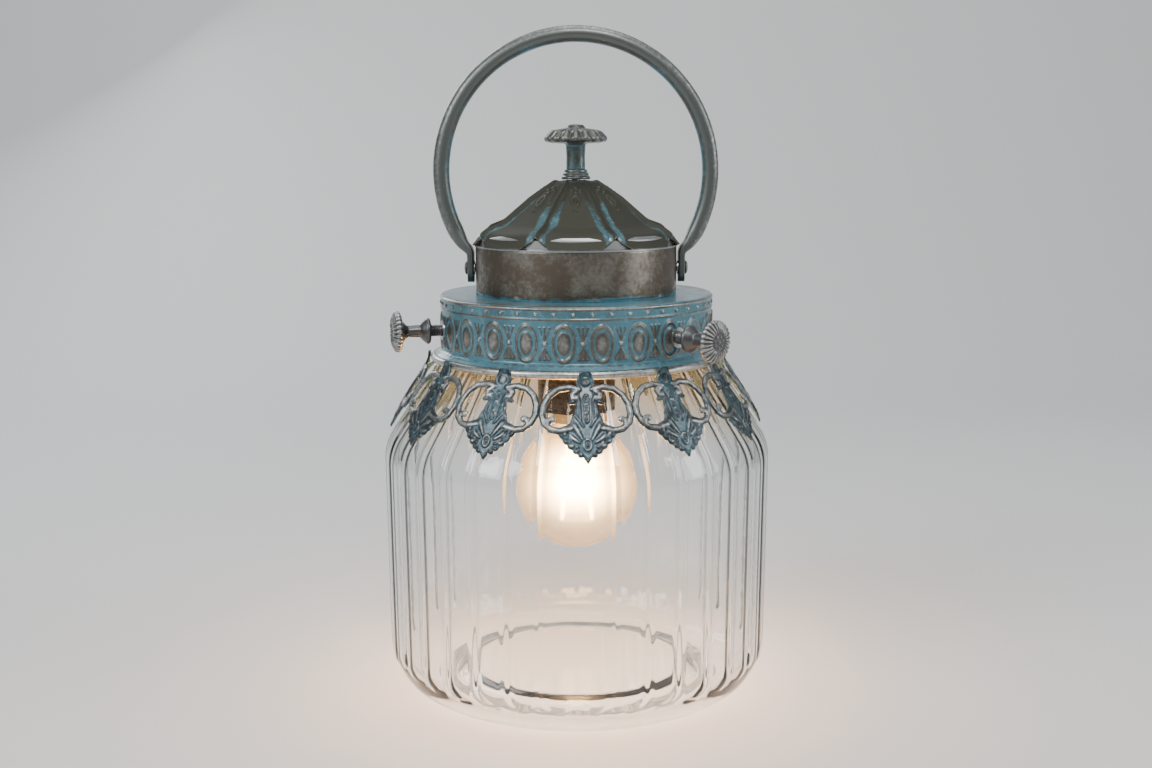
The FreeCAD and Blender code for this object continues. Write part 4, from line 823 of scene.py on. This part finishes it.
def pendant_relief(x, y, edge):
    """Height above the pendant's plate: rounded rims, scroll ridges, a beaded stem, a fan and an eye."""
    side = np.abs(x)
    rim = 0.75 * bump(edge, -0.75, 0.62)
    pillow = 0.35 * smooth_step(0.0, -1.4, edge)
    scroll = np.zeros_like(side)
    for line in SCROLLS[1:4]:
        for (ax, ay, ar), (bx, by, br) in zip(line, line[1:]):
            ridge = stroke(side, y, ax, ay, bx, by, 0.0, 0.0)
            scroll = np.maximum(scroll, 1.05 * dome(ridge, 1.35))
    curls = np.maximum(1.2 * dome(np.hypot(side - 14.9, y - 21.8), 1.7),
                       1.15 * dome(np.hypot(side - 4.2, y - 11.4), 1.4))
    stem = np.zeros_like(side)
    for centre in (12.5, 16.6, 20.7):
        spread = np.hypot(side / 0.75, (y - centre) / 1.75)
        stem = np.maximum(stem, np.maximum(0.7 * bump(spread, 1.25, 0.45), 0.35 * dome(spread, 0.7)))
    angle = np.arctan2(side, 34.5 - y)
    distance = np.hypot(side, y - 34.5)
    rays = (0.5 + 0.5 * np.cos(angle * 13)) * 0.75 * smooth_step(0.25, 0.5, angle)
    rays = rays * smooth_step(3.4, 4.6, distance) * smooth_step(14.5, 10.5, distance)
    eye = np.hypot(side / 1.2, (y - 33.0) / 1.9)
    eyes = np.maximum(0.8 * bump(eye, 1.3, 0.5), 0.6 * dome(eye, 0.55))
    leaf = 0.6 * bump(stroke(side, y, 1.6, 24.6, 6.6, 17.0, 0, 0), 0.0, 0.8)
    vein = 0.5 * bump(stroke(side, y, 2.6, 23.0, 3.0, 12.0, 0, 0), 0.0, 0.7)
    tab = 0.5 * dome(np.hypot(side, y - 3.9), 2.4)
    inside = smooth_step(-0.1, -0.9, edge)
    details = np.maximum.reduce([rays, eyes, leaf, vein, tab, stem]) * inside
    return np.maximum.reduce([rim, pillow + details * 0.9, scroll * smooth_step(0.2, -0.5, edge), curls])


SNAP_REACH = 1.45  # cells from the outline within which a point is moved onto it
SNAP_ROUNDS = 3
PROBE = 0.02  # millimetres to each side when the outline's slope is measured


def pendant_grid(cell):
    """Pierced plate: grid cells inside the outline, with the points beside it moved onto it."""
    xs = np.arange(-21.5, 21.5 + cell / 2, cell)
    ys = np.arange(-2.5, 42.5, cell)
    x, y = np.meshgrid(xs, ys)
    edge = pendant_edge(x, y)
    inside = edge < 0
    beside = ~inside & (edge < cell * SNAP_REACH)
    for _ in range(SNAP_ROUNDS):
        gap = pendant_edge(x, y)
        slope_x = (pendant_edge(x + PROBE, y) - pendant_edge(x - PROBE, y)) / (2 * PROBE)
        slope_y = (pendant_edge(x, y + PROBE) - pendant_edge(x, y - PROBE)) / (2 * PROBE)
        size = np.maximum(slope_x * slope_x + slope_y * slope_y, 0.25)
        x = np.where(beside, x - gap * slope_x / size, x)
        y = np.where(beside, y - gap * slope_y / size, y)
    usable = inside | beside
    touches = inside[:-1, :-1] | inside[1:, :-1] | inside[:-1, 1:] | inside[1:, 1:]
    whole = usable[:-1, :-1] & usable[1:, :-1] & usable[:-1, 1:] & usable[1:, 1:] & touches
    number = np.arange(x.size).reshape(x.shape)
    corners = (number[:-1, :-1], number[:-1, 1:], number[1:, 1:], number[1:, :-1])
    quads = np.stack([corner[whole] for corner in corners], -1)
    used, quads = np.unique(quads, return_inverse=True)
    return x.ravel()[used], y.ravel()[used], quads.reshape(-1, 4)


def border(quads):
    """Directed edges that belong to one quad only."""
    edges = np.concatenate([quads[:, [k, (k + 1) % 4]] for k in range(4)])
    key = np.sort(edges, axis=1)
    _, index, count = np.unique(key, axis=0, return_index=True, return_counts=True)
    return edges[index[count == 1]]


def skirt_surface(y):
    """Radius and height on the skirt's mean surface at a distance y down it, and its outward lean."""
    ring = RING_REACH / MM + 0.3
    low_ring = RING_LOW / MM
    path = np.array([(ring, low_ring + 4.2), (ring, low_ring + 0.6), (ring + 3.4, low_ring - 5.6),
                     (ring + 8.7, 147.0), (ring + 14.2, 137.6), (ring + 19.9, 126.6), (ring + 21.5, 123.0)])
    for _ in range(3):
        middle = (path[:-1] * 0.75 + path[1:] * 0.25)
        after = (path[:-1] * 0.25 + path[1:] * 0.75)
        path = np.concatenate([path[:1], np.stack([middle, after], 1).reshape(-1, 2), path[-1:]])
    length = np.concatenate([[0], np.cumsum(np.hypot(*np.diff(path, axis=0).T))])
    radius = np.interp(y, length, path[:, 0])
    height = np.interp(y, length, path[:, 1])
    slope = np.gradient(path, axis=0)
    slope /= np.linalg.norm(slope, axis=1)[:, None]
    return radius, height, np.interp(y, length, -slope[:, 1]), np.interp(y, length, slope[:, 0])


PLATE_CELL = 0.36
PLATE_FRONT, PLATE_BACK = 0.50, -0.10


def make_pendants():
    """Twelve pierced pendants bent over the glass: plate coordinates carried round the skirt's surface."""
    x, y, quads = pendant_grid(PLATE_CELL)
    edge = pendant_edge(x, y)
    height_mm = np.clip(pendant_relief(x, y, edge), 0, None)
    radius, height, out_r, out_z = skirt_surface(y + 1.2)
    count = len(x)
    start, end = border(quads).T
    walls = np.stack([end, start, start + count, end + count], -1)
    crest = 0.20 + 0.80 * np.clip(height_mm / 1.05, 0, 1) + 0.34 * smooth_step(-0.9, 0.0, edge)
    relief = np.concatenate([crest, np.full(count, 0.3)])
    bow = 0.0024 * np.abs(x) ** 1.5
    for number in range(PENDANTS):
        azimuth = PENDANT_PHASE + number * TURN / PENDANTS + x / np.maximum(radius, 1)
        swell = wander(x, y, 0 * x + number * 17.0, 40 + number, 9.0) * 0.12
        shells = []
        for lift in (PLATE_FRONT + height_mm * EMBOSSING + swell + bow, PLATE_BACK + swell + bow):
            shells.append(to_points((radius + lift * out_r) * MM, azimuth, (height + lift * out_z) * MM))
        points = np.concatenate(shells)
        piece = make_mesh(f"pendant_{number + 1:02d}", points, [quads, quads[:, ::-1] + count, walls], relief)
        dress(piece, SKIRT_METAL, "head", ["filigree_skirt"])


# ---- thumbscrews --------------------------------------------------------------------------------------


KNOB_START = 71.3
KNOB_PETALS = 13
KNOB_DOTS = 7
DOT_CIRCLE = 2.6
SHANK_START, SHANK_END = 60.8, 71.05
THREAD_RADIUS, THREAD_DEPTH = 2.88, 0.42
SHANK_SIDES = 32


def along_screw(points, azimuth_degrees):
    """Points turned about Z carried onto a screw's axis, so that Z runs outwards at the azimuth."""
    a = math.radians(azimuth_degrees)
    out = np.array([math.sin(a), -math.cos(a), 0.0])
    across = np.array([math.cos(a), math.sin(a), 0.0])
    return points[:, 2:3] * out + points[:, 0:1] * across + points[:, 1:2] * UPWARD + UPWARD * SCREW_HEIGHT


def knob_face(radius, angle, out):
    """Rosette on the knob's head: petals |cos| deepening outwards, a ring of dots and a centre dot."""
    r = radius / MM
    front = out > 86.3 * MM
    rim_zone = (r > 6.0) & (out > 84.6 * MM)
    petals = np.abs(np.cos(angle * KNOB_PETALS)) ** 0.7
    depth = smooth_step(3.4, 5.0, r)
    dots = np.zeros_like(r)
    for number in range(KNOB_DOTS):
        turn = number * TURN / KNOB_DOTS
        dot_x = r * np.cos(angle) - DOT_CIRCLE * math.cos(turn)
        dot_y = r * np.sin(angle) - DOT_CIRCLE * math.sin(turn)
        dots = np.maximum(dots, dome(np.hypot(dot_x, dot_y), 0.85))
    raised = np.where(front | rim_zone, depth * petals * 0.75, 0)
    raised = raised + np.where(front, 0.55 * dots + 0.6 * dome(r, 1.2), 0)
    spread = np.where(rim_zone, (petals - 1) * 0.45 * depth, 0)
    relief = 0.32 + 0.62 * np.clip(raised / 0.75, 0, 1)
    return radius + spread * MM, out + np.where(front, raised - 0.55, 0) * MM, relief


def make_knob(side, azimuth):
    """Turned knob along its screw's axis: collar, stem, hub and rosette head."""
    start = KNOB_START
    profile = rounded([
        (0, start, 0), (2.9, start, 0), (5.7, start, 0.4), (6.3, start + 0.9, 0.6),
        (5.9, start + 1.9, 0.8), (4.3, start + 3.6, 1.2), (2.9, start + 4.8, 1.0), (2.7, 82.0, 1.5),
        (5.4, 84.4, 1.0), (8.6, 85.0, 0.6), (9.85, 86.0, 0.9), (9.4, 87.6, 1.2), (6.4, 89.2, 3.0),
        (3.2, 89.3, 0.5), (0, 89.6, 0)], 0.28)
    radius, angle, out = ring_of(profile, KNOB_PETALS * 16)
    radius, out, relief = knob_face(radius, angle, out)
    points, faces, relief = closed_turning(radius, angle, out, relief)
    knob = make_mesh(f"rosette_knob_{side}", along_screw(points, azimuth), faces, relief)
    dress(knob, KNOB_METAL, f"screw_{side}_head", [f"screw_{side}_knob"])


def make_shank(side, azimuth):
    """Threaded shank: its radius falls and rises in a V that winds once a millimetre, fading at the tip."""
    angle = np.arange(SHANK_SIDES) * TURN / SHANK_SIDES
    out = np.arange(SHANK_START, SHANK_END, 0.125)[:, None] + 0 * angle
    wave = np.abs(((out - angle / TURN) % 1.0) - 0.5) * 2
    fade = smooth_step(SHANK_START, SHANK_START + 0.8, out)
    radius = (THREAD_RADIUS - THREAD_DEPTH * (1 - wave) * fade - 0.35 * (1 - fade)) * MM
    end = np.zeros((1, SHANK_SIDES))
    radius = np.concatenate([end, radius, end])
    out = np.concatenate([end + SHANK_START, out, end + SHANK_END]) * MM
    points, faces, relief = closed_turning(radius, angle + 0 * radius, out)
    shank = make_mesh(f"threaded_shank_{side}", along_screw(points, azimuth), faces, relief)
    dress(shank, KNOB_METAL, f"screw_{side}_thread", [f"screw_{side}_shank"])


# ---- drum, canopy, finial -----------------------------------------------------------------------------


DRUM_TABS = 8
DRUM_WALL = 1.2
GORES = 8
ROOF_WALL = 0.75
MOTIF_HEIGHT = 0.75
CROSS, OVAL_MIDDLE, LAST_DOT = 12.0, 20.0, 26.4  # distances down a gore to its pressed motifs, millimetres


def make_drum():
    """Low cylinder with soft dents, its lower edge crimped to the flange by small tabs between slits."""
    top, bottom, outer = DRUM_TOP / MM, FLANGE_TOP / MM, DRUM_RADIUS / MM

    def dented(radius, azimuth, height):
        above = height / MM - bottom
        skin = radius > (outer - 0.5) * MM
        dents = around(radius, azimuth, height, 5, 0.05) * 0.16
        tab = np.abs((azimuth * DRUM_TABS / TURN + 0.28) % 1.0 - 0.5) * TURN / DRUM_TABS * outer
        slit = 0.55 * bump(above, 0.5, 0.6) * smooth_step(2.2, 3.2, tab)
        tabs = 0.30 * smooth_step(1.6, 0.9, tab) * smooth_step(2.2, 1.4, above)
        painted = smooth_step(3.6, 0.6, above + 0.9 * wander(azimuth * 8, 0 * azimuth, height * 60, 6, 2.2))
        edge = smooth_step(1.2, 0.2, top - height / MM)
        relief = 0.55 - 0.50 * painted + 0.2 * edge
        return radius + np.where(skin, tabs - slit - np.abs(dents) - 0.3, 0) * MM, height, relief

    bore = outer - DRUM_WALL
    drum = turned("plain_drum", [
        (bore, bottom, 0), (outer, bottom, 0), (outer, top, 0.4), (bore, top, 0.3), (bore, bottom, 0, 8.0)],
        480, 0.45, dented)
    dress(drum, DRUM_METAL, "head", ["drum"])


def roof_profile():
    """Ogee from the finial's seat to the eaves."""
    top, bottom = ROOF_TOP / MM, ROOF_LOW / MM
    return rounded([
        (6.0, top, 0), (10.5, top - 0.6, 5.0), (24.0, bottom + 21.5, 16.0), (37.5, bottom + 10.6, 10.0),
        (46.0, bottom + 7.6, 6.0), (ROOF_RADIUS / MM - 0.1, bottom + 0.3, 0)], 0.55)


def gore_relief(s, t):
    """Motif on a gore: four dots in a cross, a ringed pointed oval, a dot; s across, t down, in mm."""
    dots = np.zeros_like(s)
    for ds, dt in ((0, -2.0), (0, 2.0), (-2.0, 0), (2.0, 0)):
        dots = np.maximum(dots, dome(np.hypot(s - ds, t - CROSS - dt), 1.1))
    upright = (t - OVAL_MIDDLE) / 4.0
    pointed = np.hypot(s / 1.6, upright) + 0.15 * np.abs(upright)
    oval = np.maximum(bump(pointed, 1.0, 0.42), 0.7 * dome(pointed, 0.45))
    return np.maximum.reduce([dots, oval, dome(np.hypot(s, t - LAST_DOT), 0.9)])


def make_canopy():
    """Eight-gored roof: each gore sinks between raised seams, and its eave is cut in a lobe."""
    profile = roof_profile()
    length = np.concatenate([[0], np.cumsum(np.hypot(*np.diff(profile, axis=0).T))]) / MM
    _, azimuth, _ = ring_of(profile, GORES * 90)
    pitch = TURN / GORES
    across = (azimuth + pitch / 2) % pitch - pitch / 2
    part = np.abs(across) / (pitch / 2)
    down = length[:, None] + 0 * azimuth
    total = length[-1]
    notch = 5.6 * np.clip((part - 0.60) / 0.40, 0, 1) ** 1.1
    on_profile = down * (1 - notch / total * down / total)
    radius = np.interp(on_profile, length, profile[:, 0])
    height = np.interp(on_profile, length, profile[:, 1])
    to_seam = (pitch / 2 - np.abs(across)) * radius / MM
    seam = 1.1 * bump(to_seam, 0.0, 1.1) * smooth_step(2.0, 6.0, down)
    valley = -0.7 * bump(to_seam, 2.2, 2.0) * smooth_step(6.0, 24.0, down)
    sink = -1.3 * (1 - part ** 2) * smooth_step(8.0, 30.0, down) * smooth_step(total + 6, total - 12, down)
    motif = gore_relief(across * radius / MM, down)
    curl = 0.25 * smooth_step(total - 2.5, total, down)
    dents = around(radius, azimuth, height, 8, 0.035) * 0.12
    skin = (seam + valley + sink + motif * MOTIF_HEIGHT + curl + dents - 0.45) * MM
    slope = np.gradient(profile, axis=0)
    slope /= np.linalg.norm(slope, axis=1)[:, None]
    out_r = np.interp(on_profile, length, -slope[:, 1])
    out_z = np.interp(on_profile, length, slope[:, 0])
    outer_r, outer_z = radius + skin * out_r, height + skin * out_z
    edge = smooth_step(total - 1.1, total - 0.2, down)
    streak = bump(to_seam, 3.2, 3.6 + 1.2 * wander(azimuth * 5, down * 0.12, 0 * down, 9, 2.5))
    relief = 0.50 + 0.30 * bump(to_seam, 0.0, 0.9) + 0.48 * motif + 0.5 * edge
    relief = relief - 0.42 * streak * smooth_step(9, 30, down) * (1 - edge)
    relief = relief - 0.25 * smooth_step(9.0, 4.0, down)
    rows = len(profile)
    few = np.unique(np.concatenate([np.arange(0, rows, 5), [rows - 1]]))[::-1]
    r = np.concatenate([outer_r, (outer_r - ROOF_WALL * MM * out_r)[few]])
    z = np.concatenate([outer_z, (outer_z - ROOF_WALL * MM * out_z)[few]])
    values = np.concatenate([relief, np.full((len(few), azimuth.shape[1]), 0.35)])
    a = np.concatenate([azimuth, azimuth[few]])
    r = np.minimum(r, ROOF_RADIUS - 0.02 * MM)
    z = np.maximum(z, ROOF_LOW + 0.02 * MM)
    roof = make_mesh("gored_canopy", *closed_turning(r, a, z, values))
    dress(roof, ROOF_METAL, "roof", ["canopy"])


def make_finial():
    """Stepped disc, stem and fluted mushroom head with a centre button."""
    base = low("finial_collar") / MM
    step = high("finial_collar") / MM

    def plain(radius, azimuth, height):
        return radius, height, 0.42 + 0.25 * bump(radius / MM, 6.9, 0.8)

    collar = turned("finial_seat", [
        (0, base, 0), (6.9, base, 0.3), (6.9, base + 1.1, 0.5), (6.1, base + 1.7, 0.4),
        (6.3, base + 2.7, 0.5), (5.5, step - 1.3, 0.3), (5.4, step, 0.4), (0, step, 0)], 96, 0.4, plain)
    dress(collar, FINIAL_METAL, "roof", ["finial_collar"])
    crown = high("finial_knob") / MM

    def fluted(radius, azimuth, height):
        r = radius / MM
        head = smooth_step(5.2, 8.0, r) * (height / MM > crown - 9.5)
        petals = np.abs(np.cos(azimuth * 8)) ** 0.8
        top = head * (height / MM > crown - 6.6)
        grooved = 0.32 + 0.5 * np.where(head > 0, head * petals, 0.35) - 0.15 * (height / MM < crown - 8.9)
        return (radius - (1 - petals) * 0.8 * head * smooth_step(9.5, 13.0, r) * MM,
                height - (1 - petals) * 0.95 * top * MM, grooved)

    knob = turned("mushroom_finial", [
        (0, step, 0), (4.5, step, 0.3), (4.4, step + 6.0, 8.0), (4.7, crown - 9.2, 1.2),
        (11.0, crown - 8.9, 2.0), (14.6, crown - 8.2, 1.5), (15.1, crown - 6.3, 1.6),
        (12.0, crown - 3.0, 4.0), (4.8, crown - 1.9, 1.2), (3.7, crown - 0.4, 0.8), (0, crown, 0)],
        288, 0.4, fluted)
    dress(knob, FINIAL_METAL, "roof", ["finial_knob"])


# ---- bail ---------------------------------------------------------------------------------------------


ROD_RADIUS = 3.9
TAB_THICK, TAB_WIDE = 1.6, 5.4
TAB_TOP = 209.5
BOW_START = 216.0
BAIL_SIDES = 40


def bail_line():
    """Centre line (x, z) in mm and the bow's centre: tab, cubic shoulder, circular bow, the same back."""
    bow = BAIL_REACH / MM - ROD_RADIUS
    centre = BAIL_TOP / MM - ROD_RADIUS - bow
    bend = math.asin((centre - BOW_START) / bow)
    arc = np.linspace(-bend, math.pi + bend, 330)
    circle = np.stack([bow * np.cos(arc), centre + bow * np.sin(arc)], -1)
    tab_height = np.linspace(low("bail") / MM, TAB_TOP, 34)
    tab_x = reach("bail_rivets") / MM - 1.4 - 1.75
    tab = np.stack([np.full(34, tab_x), tab_height], -1)
    t = np.linspace(0, 1, 12)[1:-1, None]
    start, end = tab[-1], circle[0]
    from_start = start + np.array([0, 3.2])
    from_end = end - np.array([math.sin(bend), math.cos(bend)]) * 3.2
    shoulder = ((1 - t) ** 3 * start + 3 * (1 - t) ** 2 * t * from_start
                + 3 * (1 - t) * t * t * from_end + t ** 3 * end)
    right = np.concatenate([tab, shoulder])
    return np.concatenate([right, circle, right[::-1] * np.array([-1, 1])]), centre


def make_bail():
    """Bent rod, forged flat towards each end: its section goes from a circle to a squarish superellipse."""
    line, centre = bail_line()
    path = np.stack([line[:, 0], 0 * line[:, 0], line[:, 1]], -1) * MM
    foot = low("bail") / MM
    z = line[:, 1]
    rod = smooth_step(208.5, 222.0, z)
    thick = TAB_THICK + (ROD_RADIUS - TAB_THICK) * rod
    wide = TAB_WIDE + (ROD_RADIUS - TAB_WIDE) * rod
    below = (foot + TAB_WIDE - z) / (TAB_WIDE + 0.05) * (z < foot + TAB_WIDE)
    wide = wide * np.sqrt(np.clip(1 - below ** 2, 0.0, 1)) + 0.02
    angle = np.arange(BAIL_SIDES) * TURN / BAIL_SIDES
    power = 2 + 5 * (1 - rod)[:, None]
    c, s = np.cos(angle)[None, :], np.sin(angle)[None, :]
    fullness = (np.abs(c) ** power + np.abs(s) ** power) ** (-1 / power)
    along = np.gradient(path, axis=0)
    along /= np.linalg.norm(along, axis=1)[:, None]
    across = np.cross(BACKWARD, along)
    on_x, on_z = path[:, :1], path[:, 2:]
    dents = 1 + 0.012 * wander(on_x + 0 * c, 4 * MM * s + 0 * on_x, on_z + 4 * MM * c, 31, 0.02)
    ring = (path[:, None, :] + across[:, None, :] * (c * fullness * thick[:, None] * dents)[:, :, None] * MM
            + BACKWARD * (s * fullness * wide[:, None] * dents)[:, :, None] * MM)
    out = ring - UPWARD * centre * MM
    out /= np.linalg.norm(out, axis=2)[:, :, None]
    facing = np.einsum("ijk,ijk->ij", ring - path[:, None, :], out) / (ROD_RADIUS * MM)
    points = np.concatenate([ring.reshape(-1, 3), path[:1], path[-1:]])
    relief = np.concatenate([(0.5 + 0.34 * facing).ravel(), [0.4, 0.4]])
    bail = make_mesh("bail_handle_rod", points, tube_faces(len(path), BAIL_SIDES), relief)
    dress(bail, BAIL_METAL, "bail_handle", ["bail"])


def make_rivets():
    """Domed rivet heads outside the tabs, with their shanks through the drum."""
    outside = reach("bail_rivets") / MM
    profile = rounded([
        (0, 45.9, 0), (2.9, 45.9, 0.3), (2.9, 46.95, 0), (1.9, 47.0, 0), (1.9, outside - 1.35, 0),
        (3.3, outside - 1.3, 0.2), (2.9, outside - 0.5, 0.9), (1.6, outside - 0.05, 2.0),
        (0, outside, 0)], 0.3)
    radius, angle, out = ring_of(profile, 48)
    relief = 0.35 + 0.5 * smooth_step(outside - 1.3, outside, out / MM)
    shell, faces, relief = closed_turning(radius, angle, out, relief)
    shells = []
    for side in (1, -1):
        place = np.stack([side * shell[:, 2], shell[:, 0], shell[:, 1] + PIVOT_HEIGHT], -1)
        shells.append((place, faces, relief))
    rivets = make_mesh("domed_rivets", *join_shells(shells))
    dress(rivets, KNOB_METAL, "head", ["bail_rivets"])


# ---- bulb ---------------------------------------------------------------------------------------------


GLOBE_RADIUS, GLOBE_WALL, GLOBE_NECK = 30.0, 0.8, 12.3
STRIPS = 4
STRIP_FOOT, STRIP_TOP, STRIP_RADIUS = 10.4, 5.9, 0.95
WIRE_RADIUS, POLE_RADIUS = 0.2, 0.25
POLE_TOP = 113.0


def make_globe():
    """Blown globe: an outer and an inner skin, each a sphere that runs into a straight neck."""
    centre = low("bulb_globe") / MM + GLOBE_RADIUS
    neck_top = high("bulb_globe") / MM
    skins = []
    for inset in (0.0, GLOBE_WALL):
        radius, mouth = GLOBE_RADIUS - inset, GLOBE_NECK - inset
        angle = np.linspace(0, math.pi - math.asin(mouth / radius) - 0.12, 60)
        ball = np.stack([radius * np.sin(angle), centre - radius * np.cos(angle)], -1)
        last = ball[-1, 1]
        collar = np.array([(mouth + 0.35, last + 2.6), (mouth, last + 6.0), (mouth, neck_top)])
        skins.append(np.concatenate([ball, collar]))
    profile = np.concatenate([skins[0], skins[1][::-1]]) * MM
    globe = make_mesh("amber_globe", *closed_turning(*ring_of(profile, 128)))
    dress(globe, BULB_GLASS, "head", ["bulb_globe"])


def wire(azimuth, radii, heights):
    """Fine wire through points at one azimuth, radii and heights in millimetres."""
    line = to_points(np.array(radii), azimuth, np.array(heights)) * MM
    return tube_shell(line, np.full((len(line), 2), WIRE_RADIUS * MM), 8)


def make_filaments():
    """Lit strips leaning in towards the top, rounded at their ends, held by wires from a centre pole."""
    foot, top = low("led_filaments") / MM, high("led_filaments") / MM
    t = np.linspace(0, 1, 26)
    ends = np.sqrt(np.clip(1 - np.abs(2 * t - 1) ** 14, 0.02, 1))
    strips, wires = [], []
    for number in range(STRIPS):
        azimuth = (number + 0.5) * TURN / STRIPS
        line = to_points(STRIP_FOOT + (STRIP_TOP - STRIP_FOOT) * t, azimuth, foot + (top - foot) * t) * MM
        strips.append(tube_shell(line, np.stack([ends, ends], -1) * STRIP_RADIUS * MM, 14))
        wires.append(wire(azimuth, (STRIP_TOP, 4.2, 2.6), (top - 0.4, top + 2.0, top + 3.4)))
        wires.append(wire(azimuth, (STRIP_FOOT, 4.0, 0.3), (foot + 0.3, foot - 1.6, foot - 2.0)))
    pole = UPWARD * np.linspace(foot - 2.2, POLE_TOP, 12)[:, None] * MM
    wires.append(tube_shell(pole, np.full((12, 2), POLE_RADIUS * MM), 8))
    lit = make_mesh("lit_strips", *join_shells(strips))
    dress(lit, FILAMENT_GLOW, "head", ["led_filaments"])
    supports = make_mesh("filament_supports", *join_shells(wires))
    dress(supports, STEEL, "head")


def make_stem():
    """Glass stem that pinches in above its foot and flares out to seal the globe's neck."""
    foot, top = low("bulb_stem") / MM, high("bulb_stem") / MM
    stem = turned("pinched_glass_stem", [
        (0, foot, 0), (2.4, foot, 1.0), (3.0, foot + 3, 3.0), (2.2, foot + 12, 6.0), (4.5, top - 6, 3.0),
        (11.0, top - 1.5, 1.0), (11.0, top, 0.2), (0, top, 0)], 48, 0.8)
    dress(stem, CLEAR_GLASS, "head", ["bulb_stem"])


# ---- CAD nodes that keep their shape ------------------------------------------------------------------

KEPT_NODES = {
    "rim_seat": RUBBER, "screw_bushes": STEEL, "chassis_plate": STEEL, "chassis_screws": STEEL,
    "bail_washers": STEEL, "canopy_locating_ring": STEEL, "finial_stud": STEEL, "finial_washer": STEEL,
    "finial_nut": STEEL, "lamp_nipple": STEEL, "nipple_nuts": STEEL, "lamp_holder": HOLDER_PLASTIC,
    "lamp_contact": BRASS, "bulb_cap": BRASS, "bulb_tip": BRASS, "battery_tray": BLACK_PLASTIC,
    "batteries": CELL_WRAP, "battery_plates": BRASS, "battery_springs": STEEL,
    "switch_housing": BLACK_PLASTIC, "switch_slider": PALE_PLASTIC, "feed_wires": WIRE_COVER,
}


def dress_kept_nodes():
    """Give each node that stays visible its material, and nothing else."""
    for node, material in KEPT_NODES.items():
        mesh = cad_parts[node].data
        mesh.materials.clear()
        mesh.materials.append(material)


# ---- stage, lights, camera ----------------------------------------------------------------------------


STAGE_TURN = 0.75  # depth at which the floor starts to rise
STAGE_BEND = 0.55
STAGE_HALF_WIDTH = 2.4
STAGE_COLUMNS = 12


def make_stage():
    """Pale floor, then a quarter circle up, then an upright backdrop behind the lantern."""
    angle = np.linspace(0.1, math.pi / 2, 16)
    depth = np.concatenate([np.linspace(-1.6, STAGE_TURN, 24), STAGE_TURN + STAGE_BEND * np.sin(angle),
                            np.full(6, STAGE_TURN + STAGE_BEND)])
    rise = np.concatenate([np.zeros(24), STAGE_BEND * (1 - np.cos(angle)),
                           STAGE_BEND + np.linspace(0.2, 2.2, 6)])
    x, y = np.meshgrid(np.linspace(-STAGE_HALF_WIDTH, STAGE_HALF_WIDTH, STAGE_COLUMNS), depth)
    points = np.stack([x, y, rise[:, None] + 0 * x], -1).reshape(-1, 3)
    quads = grid_faces(len(depth), STAGE_COLUMNS, wrap_columns=False)
    mesh = bpy.data.meshes.new("pale_stage")
    mesh.from_pydata(points.tolist(), [], quads.tolist())
    mesh.polygons.foreach_set("use_smooth", np.full(len(quads), True))
    floor = bpy.data.objects.new("pale_stage", mesh)
    bpy.context.scene.collection.objects.link(floor)
    material, _, shader = new_material("pale_paper")
    shader.inputs["Base Color"].default_value = (0.60, 0.60, 0.60, 1)
    shader.inputs["Roughness"].default_value = 0.75
    mesh.materials.append(material)


def area_light(name, place, aim, size, power, colour):
    """Rectangular soft light at a place, turned towards its aim."""
    light = bpy.data.lights.new(name, "AREA")
    light.shape = "RECTANGLE"
    light.size, light.size_y = size
    light.energy = power
    light.color = colour
    item = bpy.data.objects.new(name, light)
    item.location = place
    item.rotation_euler = (Vector(aim) - Vector(place)).to_track_quat("-Z", "Y").to_euler()
    bpy.context.scene.collection.objects.link(item)


def make_lights():
    """Even pale room, five soft lights round the lantern and a warm point of light in the globe."""
    world = bpy.data.worlds.new("soft_room")
    world.use_nodes = True
    room = world.node_tree.nodes["Background"]
    room.inputs["Color"].default_value = (0.80, 0.88, 0.92, 1)
    room.inputs["Strength"].default_value = 0.24
    bpy.context.scene.world = world
    area_light("key_window", (-1.2, -0.9, 1.1), (0, 0, 0.18), (0.7, 0.9), 20, (0.92, 0.96, 1.0))
    area_light("front_top", (0.15, -1.1, 1.5), (0, 0, 0.18), (0.5, 0.35), 16, (0.97, 0.98, 1.0))
    area_light("right_fill", (1.3, -0.3, 0.7), (0, 0, 0.18), (0.5, 1.0), 9, (0.95, 0.97, 1.0))
    area_light("top_soft", (0.1, 0.2, 1.6), (0, 0, 0.1), (0.9, 0.9), 9, (1.0, 1.0, 1.0))
    area_light("back_edge", (-0.6, 1.0, 0.8), (0, 0, 0.2), (0.4, 0.8), 5, (0.95, 0.98, 1.0))
    bulb = bpy.data.lights.new("bulb_light", "POINT")
    bulb.energy = 1.4
    bulb.shadow_soft_size = 0.012
    bulb.color = (1.0, 0.56, 0.26)
    item = bpy.data.objects.new("bulb_light", bulb)
    item.location = (0, 0, (low("bulb_globe") + high("bulb_globe")) / 2)
    bpy.context.scene.collection.objects.link(item)


def make_camera():
    """Camera a little above the band, 0.69 m in front, looking slightly down."""
    camera = bpy.data.cameras.new("front_camera")
    camera.sensor_width = 36.0
    camera.lens = 44.97
    item = bpy.data.objects.new("front_camera", camera)
    item.location = (0.001, -0.690, 0.2608)
    item.rotation_euler = (math.radians(80.62), math.radians(0.2), math.radians(0.07))
    bpy.context.scene.collection.objects.link(item)
    bpy.context.scene.camera = item


make_camera()
make_stage()
make_lights()
make_jar()
make_band()
make_ring()
make_pendants()
for screw_side, screw_azimuth in SCREW_AZIMUTHS.items():
    make_knob(screw_side, screw_azimuth)
    make_shank(screw_side, screw_azimuth)
make_drum()
make_canopy()
make_finial()
make_bail()
make_rivets()
make_globe()
make_filaments()
make_stem()
dress_kept_nodes()
